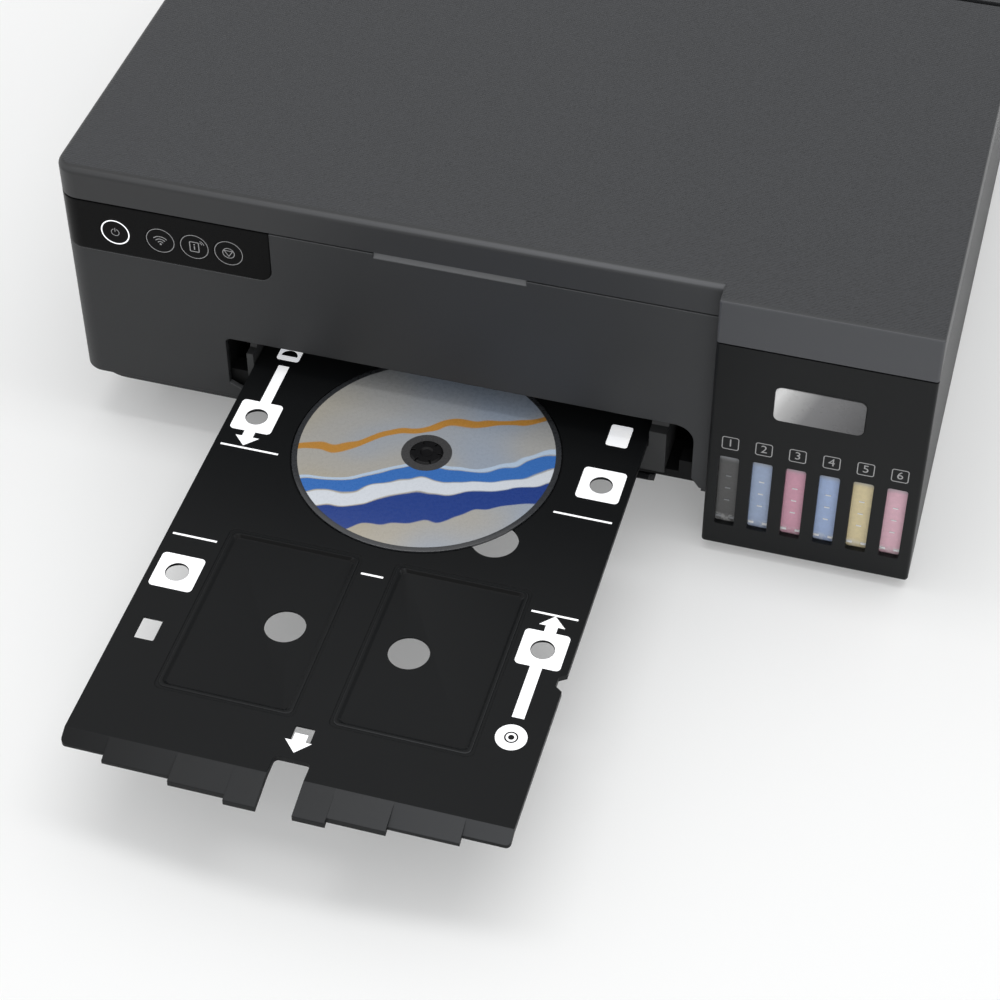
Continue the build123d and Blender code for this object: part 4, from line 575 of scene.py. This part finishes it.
looks.update({
    "cover": coverPlastic(),
    "steel": brushedSteel("sheetSteel", (0.50, 0.51, 0.52), 0.34),
    "darkSteel": brushedSteel("darkSteel", (0.20, 0.20, 0.21), 0.4),
    "rubber": rubberSkin("rubberBlack", (0.018, 0.018, 0.019)),
    "roller": rubberSkin("rollerGrey", (0.09, 0.09, 0.092)),
    "belt": rubberSkin("beltBlack", (0.014, 0.014, 0.014)),
    "board": boardGreen(),
    "badge": badgeFoil(),
    # the white marks carry a painted glow
    "white": printedMark("printWhite", (0.96, 0.96, 0.965), 0.45),
    "softWhite": printedMark("printGrey", (0.36, 0.36, 0.365)),
    "gauge": printedMark("gaugeFrost", (0.80, 0.81, 0.82)),
    "gaugeDim": printedMark("gaugeDim", (0.26, 0.27, 0.28)),
    "glow": ringGlow(),
    "disc": discPrint(),
    "trayShell": trayShell(),
})
inks = ((0.077, 0.077, 0.077), (0.33, 0.41, 0.575), (0.61, 0.31, 0.405),
        (0.325, 0.425, 0.65), (0.67, 0.57, 0.34), (0.69, 0.42, 0.50))

nodeLooks = {
    "top_cover": "cover", "front_panel": "case", "lower_case": "case",
    "left_side_cover": "caseSide", "right_side_cover": "caseSide", "rear_cover": "case",
    "tank_front_cover": "tankFront", "badge_plate": "badge", "control_panel": "panel",
    "power_key": "keyTop", "network_key": "keyTop", "info_key": "keyTop", "stop_key": "keyTop",
    "power_light_ring": "glow", "disc_tray": "tray", "tray_hub": "hub", "tray_guides": "guide",
    "exit_frame": "inner", "output_tray": "inner", "output_extension": "inner",
    "rear_deck": "inner", "paper_support": "case", "hopper": "inner",
    "edge_guide_left": "blackPart", "edge_guide_right": "blackPart", "pickup_roller": "roller",
    "chassis": "steel", "carriage_rail": "steel", "carriage": "blackPart",
    "print_head": "darkSteel", "timing_belt": "belt", "roller_belt": "belt",
    "drive_pulley": "steel", "motor_pulley": "steel", "idler_pulley": "pale",
    "motors": "darkSteel", "feed_roller": "roller", "eject_roller": "roller",
    "star_wheels": "steel", "pinch_rollers": "rubber", "platen": "blackPart",
    "capping_station": "blackPart", "waste_ink_box": "inner", "power_supply": "blackPart",
    "circuit_boards": "board", "chassis_screws": "steel", "rubber_feet": "rubber",
    "disc": "disc",
}
for number, ink in enumerate(inks, 1):
    looks["tank" + str(number)] = tankShade("tankInk" + str(number), ink)
    nodeLooks["ink_tank_" + str(number)] = "tank" + str(number)
    nodeLooks["tank_cap_" + str(number)] = "blackPart"
for nodeName, lookName in nodeLooks.items():
    node = nodes[nodeName]
    node.data.materials.clear()
    node.data.materials.append(looks[lookName])

print("disc")


def makeDisc():
    # the disc's zones, from its rim to its hole
    look = {"zones": (disc["rim"], 17.6, 16.4, disc["hub"], disc["hole"]), "edge": 0.2,
            "sides": 128}
    centre = Vector((disc["x"], disc["y"]))
    middle = (disc["x"], disc["y"], (disc["bottom"] + disc["top"]) / 2)
    piece = startRod("printedDisc", middle, disc["radius"], disc["top"] - disc["bottom"],
                     look["sides"])

    def capFace(c, n):
        return abs(n.z) > 0.9 and (c.xy - centre).length < 1.0

    def outerEdge(m, d):
        return abs((m.xy - centre).length - disc["radius"]) < 0.05 and abs(d.z) < 0.1

    reach = disc["radius"]
    for ring in look["zones"]:
        pickFaces(piece, capFace)
        bpy.ops.mesh.inset(thickness=(reach - ring) * mm, depth=0)
        doneEditing()
        reach = ring
    # the hole goes right through
    pickFaces(piece, capFace)
    bpy.ops.mesh.bridge_edge_loops()
    doneEditing()
    bevelPicked(piece, outerEdge, look["edge"], 2)
    finishPiece(piece, looks["disc"], "disc", 40, ["disc"])


makeDisc()

print("disc tray")


def makeTray():
    look = {"left": -111.0, "right": 75.4, "back": -20.2, "bend": -282.2, "bottom": 47.2,
            "corner": 6.0, "web": 1.0, "edge": 0.22, "edgeAngle": 38,
            "tabs": (7.6, 21.0, 45.0, 74.0, 93.2), "reaches": (202.0, 199.5, 196.7, 193.0),
            "drops": (4.4, 4.0, 3.6, 3.2), "lip": 1.8, "middle": -17.8, "tabCorner": 2.0,
            "fingerNotch": (214.0, 178.0), "discSeat": 60.7, "discDepth": 0.9, "centreHole": 5.0,
            "fingerHole": (43.6, -42.4), "fingerRadius": 10.4, "thinned": 1.4,
            "sensors": (((-4.8, 3.5), (-169.0, -161.3)), ((-85.1, -76.3), (-135.7, -123.8))),
            "sensorRim": 1.2, "sideNotch": (-114.0, -109.0), "notchDepth": 3.1, "notchFlare": 2.4}
    seat = {"across": 37.4, "along": -112.4, "step": (30.15, 45.95), "stepDepth": 0.25,
            "stepCorner": 3.0, "ridge": (28.9, 44.7), "ridgeHeight": 0.2, "ridgeDepth": 1.3,
            "ridgeRound": 0.42, "mouth": (28.4, 44.2), "floor": (26.35, 42.15), "depth": 1.05,
            "corner": 2.6, "hole": 26.9, "holeRadius": 8.75, "thinRadius": 10.0}
    top, bottom, middle, bend = tray["top"], look["bottom"], look["middle"], look["bend"]
    under, over = bottom - 6, top + 1
    plate = startBlock("discTrayShell", (look["left"], bend, bottom),
                       (look["right"], look["back"], top))
    bevelPicked(plate, lambda m, d: upright(m, d) and m.y > look["back"] - 1, look["corner"], 1)

    def addTab(side, step):
        near, far = sorted(middle + side * reach for reach in look["tabs"][step:step + 2])
        front = disc["y"] - look["reaches"][step]
        tab = startBlock("tab", (near, front, bottom), (far, bend, top))
        moveFaces(tab, lambda c, n: n.y < -0.9, (0, 0, -look["drops"][step]))
        pickEdges(tab, lambda m, d: abs(d.x) > 0.9 and m.y < front + 0.1 and m.z < bottom - 1)
        bpy.ops.transform.translate(value=(0, 0, (top - bottom - look["lip"]) * mm))
        doneEditing()
        if step == 3:
            bevelPicked(tab, lambda m, d: abs(d.z) > 0.8 and m.y < front + 0.1
                        and abs(m.x - middle) > 90, look["tabCorner"], 4)
        carve(plate, tab, "UNION")

    def cutBlock(x, y, z, corner):
        cutter = startBlock("cutter", (x[0], y[0], z[0]), (x[1], y[1], z[1]))
        carve(plate, bevelPicked(cutter, upright, corner, 6))

    def cutRound(x, y, radius, low, high):
        carve(plate, startRod("cutter", (x, y, (low + high) / 2), radius, high - low, 72))

    def at(across, along):
        return disc["x"] + across, disc["y"] + along

    def centredBlock(name, x, y, half, low, high):
        return startBlock(name, (x - half[0], y - half[1], low), (x + half[0], y + half[1], high))

    def cutSeat(side):
        x, y = at(side * seat["across"], seat["along"])
        wide, long = seat["step"]
        cutBlock((x - wide, x + wide), (y - long, y + long), (top - seat["stepDepth"], over),
                 seat["stepCorner"])
        # a low rounded ridge round the seat
        crown = top + seat["ridgeHeight"]
        ridge = centredBlock("ridge", x, y, seat["ridge"], top - seat["ridgeDepth"], crown)
        bevelPicked(ridge, upright, seat["stepCorner"], 5)
        bevelPicked(ridge, lambda m, d: m.z > crown - 0.01, seat["ridgeRound"], 3)
        carve(plate, ridge, "UNION")
        # the seat itself, with sloping walls
        floorLevel = top - seat["depth"]
        hollow = centredBlock("cutter", x, y, seat["mouth"], floorLevel, over)
        bevelPicked(hollow, upright, seat["corner"], 5)
        pickFaces(hollow, lambda c, n: n.z < -0.9)
        narrower = [low / high for low, high in zip(seat["floor"], seat["mouth"])]
        bpy.ops.transform.resize(value=(*narrower, 1),
                                 center_override=(x * mm, y * mm, floorLevel * mm))
        doneEditing()
        carve(plate, hollow)
        holeX = disc["x"] + side * seat["hole"]
        cutRound(holeX, y, seat["holeRadius"], under, over)
        cutRound(holeX, y, seat["thinRadius"], under, floorLevel - look["web"])

    # the front lip: four bent tabs each side of the finger notch
    for side in (-1, 1):
        for step in range(4):
            addTab(side, step)
    notchY = [disc["y"] - reach for reach in look["fingerNotch"]]
    cutBlock((middle - look["tabs"][0], middle + look["tabs"][0]), notchY, (under, over), 2.0)
    # the disc's seat and its finger hole, each hole thinned from below to a web
    discFloor = top - look["discDepth"]
    cutRound(*at(0, 0), look["discSeat"], discFloor, over)
    cutRound(*at(*look["fingerHole"]), look["fingerRadius"], under, over)
    cutRound(*at(*look["fingerHole"]), look["fingerRadius"] + look["thinned"], under,
             discFloor - look["web"])
    cutRound(*at(0, 0), look["centreHole"], under, over)
    for side in (-1, 1):
        cutSeat(side)
    for place in tray["holes"]:
        cutRound(*at(*place), look["centreHole"], under, over)
        cutRound(*at(*place), look["centreHole"] + look["thinned"], under, top - look["web"])
    for x, y in look["sensors"]:
        (left, front), (right, rear) = (at(*corner) for corner in zip(x, y))
        rim = look["sensorRim"]
        cutBlock((left, right), (front, rear), (under, over), 0.8)
        cutBlock((left - rim, right + rim), (front - rim, rear + rim),
                 (under, top - look["web"]), 1.0)
    # the small notch in the right edge, wider at its mouth
    front, rear = (disc["y"] + along for along in look["sideNotch"])
    notch = startBlock("cutter", (look["right"] - look["notchDepth"], front, under),
                       (look["right"] + 2, rear, over))
    pickFaces(notch, lambda c, n: n.x > 0.9)
    bpy.ops.transform.resize(value=(1, look["notchFlare"], 1))
    doneEditing()
    carve(plate, notch)
    freshSelection(plate)
    soften = plate.modifiers.new("soften", "BEVEL")
    soften.width = look["edge"] * mm
    soften.segments = 2
    soften.limit_method = "ANGLE"
    soften.angle_limit = math.radians(look["edgeAngle"])
    bpy.ops.object.modifier_apply(modifier="soften")
    finishPiece(plate, looks["trayShell"], "disc_tray", 15.8, ["disc_tray"])


makeTray()


# printed marks, drawn flat at 1 unit to the millimetre and then laid on their surface
def flatBlock(x, y, corner=0.0):
    piece = startBlock("mark", (x[0], y[0], 0), (x[1], y[1], 1), 1)
    if corner:
        bevelPicked(piece, upright, corner, 5, 1)
    return piece


def flatDisc(x, y, radius, sides=40):
    return startRod("mark", (x, y, 0.5), radius, 1, sides, 1)


def hole(piece, x, y, radius):
    return carve(piece, startRod("cutter", (x, y, 0.5), radius, 3, 40, 1))


def deepen(cutter):
    # past the mark above and below
    cutter.scale = (1, 1, 3)
    cutter.location = (0, 0, -1)
    return settle(cutter)


def slotOut(piece, x, y, corner=0.0):
    return carve(piece, deepen(flatBlock(x, y, corner)))


def flatArrow(x, base, tip, half):
    freshSelection()
    bpy.ops.mesh.primitive_cylinder_add(vertices=3, radius=1, depth=1, location=(0, 0, 0.5))
    piece = nameIt("mark")
    corners = piece.data.vertices
    top = max(v.co.y for v in corners)
    for v in corners:
        if abs(v.co.y - top) < 0.01:
            v.co.x, v.co.y = x, tip
        else:
            v.co.x, v.co.y = (x - half if v.co.x < 0 else x + half), base
    # the faces turn inside out when the tip is below the base
    pickFaces(piece, lambda c, n: True)
    bpy.ops.mesh.normals_make_consistent(inside=False)
    doneEditing()
    return piece


def flatRing(x, y, outer, inner, sides=48):
    return hole(flatDisc(x, y, outer, sides), x, y, inner)


def flatText(text, size):
    freshSelection()
    bpy.ops.object.text_add(location=(0, 0, 0))
    word = bpy.context.active_object.data
    word.body = text
    word.size = size
    word.extrude = 0.5
    word.align_x = "CENTER"
    word.align_y = "CENTER"
    word.resolution_u = 4
    bpy.ops.object.convert(target="MESH")
    return nameIt("mark")


def lay(piece, origin, thickness, standing=False):
    # on a level surface, or standing on a wall that looks along -Y
    piece.scale = (mm, mm, thickness * mm)
    if standing:
        piece.rotation_euler = Euler((math.pi / 2, 0, 0))
    piece.location = [c * mm for c in origin]
    return settle(piece)


print("tray marks")


def makeTrayMarks():
    # places are measured from the disc's centre
    look = {"square": 9.7, "corner": 2.0, "hole": 5.15, "line": 0.5, "arrow": 5.6,
            "lines": (((-90.5, -63.4), -18.7), ((63.6, 89.7), -19.5), ((-90.8, -70.7), -76.0),
                      ((69.5, 89.7), -77.3), ((-5.5, 4.3), -76.5)),
            "target": (79.5, -144.2), "rings": ((6.5, 2.9), (2.2, 1.3)), "thick": 0.06}
    shapes = (
        (flatBlock, (75.0, 84.9), (26.8, 40.4), 1.2),
        (flatBlock, (-82.7, -77.6), (11.2, 36.8)),
        (flatBlock, (-83.0, -77.9), (-12.2, -8.0)),
        (flatArrow, -80.4, -11.6, -17.3, look["arrow"]),
        (flatBlock, (76.9, 82.0), (-134.0, -106.3)),
        (flatBlock, (77.5, 82.6), (-87.1, -83.0)),
        (flatArrow, 80.1, -83.5, -77.8, look["arrow"]),
    )
    pullShapes = (
        (flatArrow, -1.2, -169.0, -174.9, look["arrow"]),
        (flatBlock, (-3.9, 1.7), (-169.6, -165.2)),
    )
    icon = {"x": (-85.5, -74.7), "y": (40.7, 53.0), "corner": 1.4, "domeX": -80.1,
            "domeY": 43.8, "dome": 3.9}
    marks = []
    for x, y in tray["holes"]:
        half = look["square"]
        square = flatBlock((x - half, x + half), (y - half, y + half), look["corner"])
        marks.append(hole(square, x, y, look["hole"]))
    marks += [draw(*sizes) for draw, *sizes in shapes]
    sheet = flatBlock(icon["x"], icon["y"], icon["corner"])
    dome = deepen(flatDisc(icon["domeX"], icon["domeY"], icon["dome"]))
    marks.append(carve(sheet, slotOut(dome, (-90, -70), (30, icon["domeY"]))))
    marks += [flatRing(*look["target"], outer, inner) for outer, inner in look["rings"]]
    marks += [flatBlock(x, (y - look["line"], y + look["line"])) for x, y in look["lines"]]
    marks += [draw(*sizes) for draw, *sizes in pullShapes]
    piece = joinPieces(marks, "trayMarks")
    lay(piece, (disc["x"], disc["y"], tray["top"] - 0.01), look["thick"])
    finishPiece(piece, looks["white"], "disc_tray")


makeTrayMarks()

print("tank labels and gauges")


def makeTankLabels():
    look = {"width": 7.6, "height": 7.5, "centre": 69.0, "line": 0.42, "corner": 1.2,
            "text": 6.2, "thick": 0.06}
    for number in range(tanks["count"]):
        w, h, t = look["width"] / 2, look["height"] / 2, look["line"]
        box = flatBlock((-w, w), (-h, h), look["corner"])
        box = slotOut(box, (-w + t, w - t), (-h + t, h - t), look["corner"] - t)
        figure = flatText(str(number + 1), look["text"])
        piece = joinPieces([box, figure], "tankLabel" + str(number + 1))
        place = (tanks["first"] + number * tanks["pitch"], body["tankFront"] + 0.01, look["centre"])
        lay(piece, place, look["thick"], standing=True)
        finishPiece(piece, looks["softWhite"], "housing")


def makeTankGauges():
    look = {"face": -68.7, "sunk": 0.1, "ticks": (31.0, 38.5, 46.0), "half": 1.2, "thick": 0.35,
            "tickHalf": 0.3, "tickEdge": 0.14, "padPlace": 3.2, "padHalf": 1.3,
            "padThick": 0.5, "pad": (19.6, 20.9), "padEdge": 0.25}
    ticks = []

    def addTick(x, half, thick, z, edge):
        low = (x - half, look["face"] - thick, z[0])
        tick = startBlock("tick", low, (x + half, look["face"] + look["sunk"], z[1]))
        ticks.append(bevelPicked(tick, lambda m, d: m.y < look["face"] - 0.2, edge, 2))

    for z in look["ticks"]:
        addTick(tanks["first"], look["half"], look["thick"],
                (z - look["tickHalf"], z + look["tickHalf"]), look["tickEdge"])
    for side in (-1, 1):
        addTick(tanks["first"] + side * look["padPlace"], look["padHalf"], look["padThick"],
                look["pad"], look["padEdge"])
    first = joinPieces(ticks, "tankGauge1")
    for number in range(1, tanks["count"]):
        shift = (number * tanks["pitch"], 0, 0)
        piece = copyPiece(first, "tankGauge" + str(number + 1), shift)
        finishPiece(piece, looks["gauge"], "housing")
    finishPiece(first, looks["gaugeDim"], "housing")


makeTankLabels()
makeTankGauges()

print("key icons")


def makeKeyIcons():
    look = {"ring": 6.7, "line": 0.3, "power": (2.0, 1.68), "waves": (1.5, 2.9, 4.3),
            "waveHalf": 0.2, "waveBase": -2.0, "arcs": (1.1, 2.0), "arcHalf": 0.16,
            "arcPlace": (2.6, 1.7), "stop": (2.9, 2.55), "dotSides": 16, "thick": 0.05}
    # power: a broken ring and a bar
    broken = slotOut(flatRing(0, 0, *look["power"]), (-0.7, 0.7), (0.6, 4))
    icons = {"power_key": [broken, flatBlock((-0.17, 0.17), (0.4, 2.5))]}
    # network: a dot under three waves
    waves = []
    for reach in look["waves"]:
        wave = flatRing(0, look["waveBase"], reach + look["waveHalf"], reach - look["waveHalf"])
        waves.append(carve(wave, deepen(flatArrow(0, 6.0, -2.4, 8.0)), "INTERSECT"))
    waves.append(flatDisc(0, look["waveBase"], 0.5, look["dotSides"]))
    icons["network_key"] = waves
    # information: a sheet with a mark on it, and two small arcs
    sheet = slotOut(flatBlock((-2.3, 2.3), (-2.9, 2.9), 0.5), (-1.9, 1.9), (-2.5, 2.5), 0.3)
    icons["info_key"] = [sheet, flatBlock((-0.25, 0.25), (-1.6, 0.5)),
                         flatDisc(0, 1.3, 0.36, look["dotSides"])]
    for reach in look["arcs"]:
        arc = flatRing(*look["arcPlace"], reach + look["arcHalf"], reach - look["arcHalf"])
        keep = deepen(flatBlock((2.75, 6.0), (1.85, 6.0)))
        icons["info_key"].append(carve(arc, keep, "INTERSECT"))
    # stop: a triangle in a ring
    triangle = carve(flatArrow(0, 1.5, -2.1, 2.3), deepen(flatArrow(0, 1.16, -1.47, 1.68)))
    icons["stop_key"] = [flatRing(0, 0, *look["stop"]), triangle]
    for keyName, keyX in zip(icons, keys["x"]):
        parts = icons[keyName]
        if keyName != "power_key":
            parts.append(flatRing(0, 0, look["ring"], look["ring"] - look["line"], 64))
        piece = joinPieces(parts, keyName.split("_")[0] + "Icon")
        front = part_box(keyName)[0].y / mm
        lay(piece, (keyX, front + 0.01, keys["z"]), look["thick"], standing=True)
        finishPiece(piece, looks["softWhite"], keyName)


makeKeyIcons()

print("floor, light and camera")
stageLook = {"size": 9.0, "floor": (0.965, 0.97, 0.97), "lift": 0.22, "liftLight": 1.06,
             "world": 0.73, "skyForView": 0.9}
freshSelection()
bpy.ops.mesh.primitive_plane_add(size=stageLook["size"], location=(0, 0, 0))
floor = bpy.context.active_object
floor.name = "floorSheet"
r = Recipe("floorPale")
r.set(specular=0.15, rough=0.55)
floorTint = r.ramp(r.noise(1.5, 2), [
    (0.3, shade(stageLook["floor"], 0.99)), (0.7, stageLook["floor"])])
r.paint(floorTint)
# seen straight on, the floor is lifted a little towards white, and keeps the shadow
lift = r.add("ShaderNodeEmission", Strength=stageLook["liftLight"])
r.link(floorTint, lift.inputs["Color"])
straight = r.add("ShaderNodeLightPath").outputs["Is Camera Ray"]
blended = r.add("ShaderNodeMixShader")
r.link(r.times(straight, stageLook["lift"]), blended.inputs[0])
r.link(r.shader.outputs[0], blended.inputs[1])
r.link(lift.outputs[0], blended.inputs[2])
r.link(blended.outputs[0], r.tree.nodes["Material Output"].inputs["Surface"])
floor.data.materials.append(r.material)

world = bpy.data.worlds.new("studioAir")
bpy.context.scene.world = world
world.use_nodes = True
tree = world.node_tree
path = tree.nodes.new("ShaderNodeLightPath")
# what the camera, a reflection or a clear part sees of the sky is brighter than its light
seen = path.outputs["Is Camera Ray"]
for ray in ("Is Glossy Ray", "Is Transmission Ray"):
    either = tree.nodes.new("ShaderNodeMath")
    either.operation = "MAXIMUM"
    tree.links.new(seen, either.inputs[0])
    tree.links.new(path.outputs[ray], either.inputs[1])
    seen = either.outputs[0]
level = tree.nodes.new("ShaderNodeMapRange")
level.inputs["To Min"].default_value = stageLook["world"]
level.inputs["To Max"].default_value = stageLook["skyForView"]
tree.links.new(seen, level.inputs["Value"])
back = tree.nodes["Background"]
tree.links.new(level.outputs["Result"], back.inputs["Strength"])
back.inputs["Color"].default_value = (1, 1, 1, 1)

lamps = [
    {"name": "softboxAbove", "at": (0.10, 0.0, 1.7), "aim": (0.1, 0.0, 0.0),
     "size": (1.8, 0.4), "power": 9.0},
    {"name": "softboxFront", "at": (0.75, -1.8, 0.7), "aim": (0.1, 0.0, 0.05),
     "size": (1.2, 1.0), "power": 5.5},
]
for lamp in lamps:
    data = bpy.data.lights.new(lamp["name"], "AREA")
    data.shape = "RECTANGLE"
    data.size, data.size_y = lamp["size"]
    data.energy = lamp["power"]
    holder = bpy.data.objects.new(lamp["name"], data)
    bpy.context.scene.collection.objects.link(holder)
    holder.location = lamp["at"]
    beam = Vector(lamp["aim"]) - Vector(lamp["at"])
    holder.rotation_euler = beam.to_track_quat("-Z", "Y").to_euler()

photoView = {"at": (0.22836, -0.83271, 0.81907), "turn": (46.5171, 0.1648, 15.8617),
             "lens": 88.48, "sensor": 36.0, "shiftY": -0.1, "near": 0.01}
cameraData = bpy.data.cameras.new("photoCamera")
cameraData.lens = photoView["lens"]
cameraData.sensor_width = photoView["sensor"]
cameraData.shift_y = photoView["shiftY"]
cameraData.clip_start = photoView["near"]
camera = bpy.data.objects.new("photoCamera", cameraData)
bpy.context.scene.collection.objects.link(camera)
camera.location = photoView["at"]
camera.rotation_euler = Euler([math.radians(a) for a in photoView["turn"]])
bpy.context.scene.camera = camera
bpy.context.scene.view_settings.view_transform = "Standard"

bpy.context.view_layer.update()
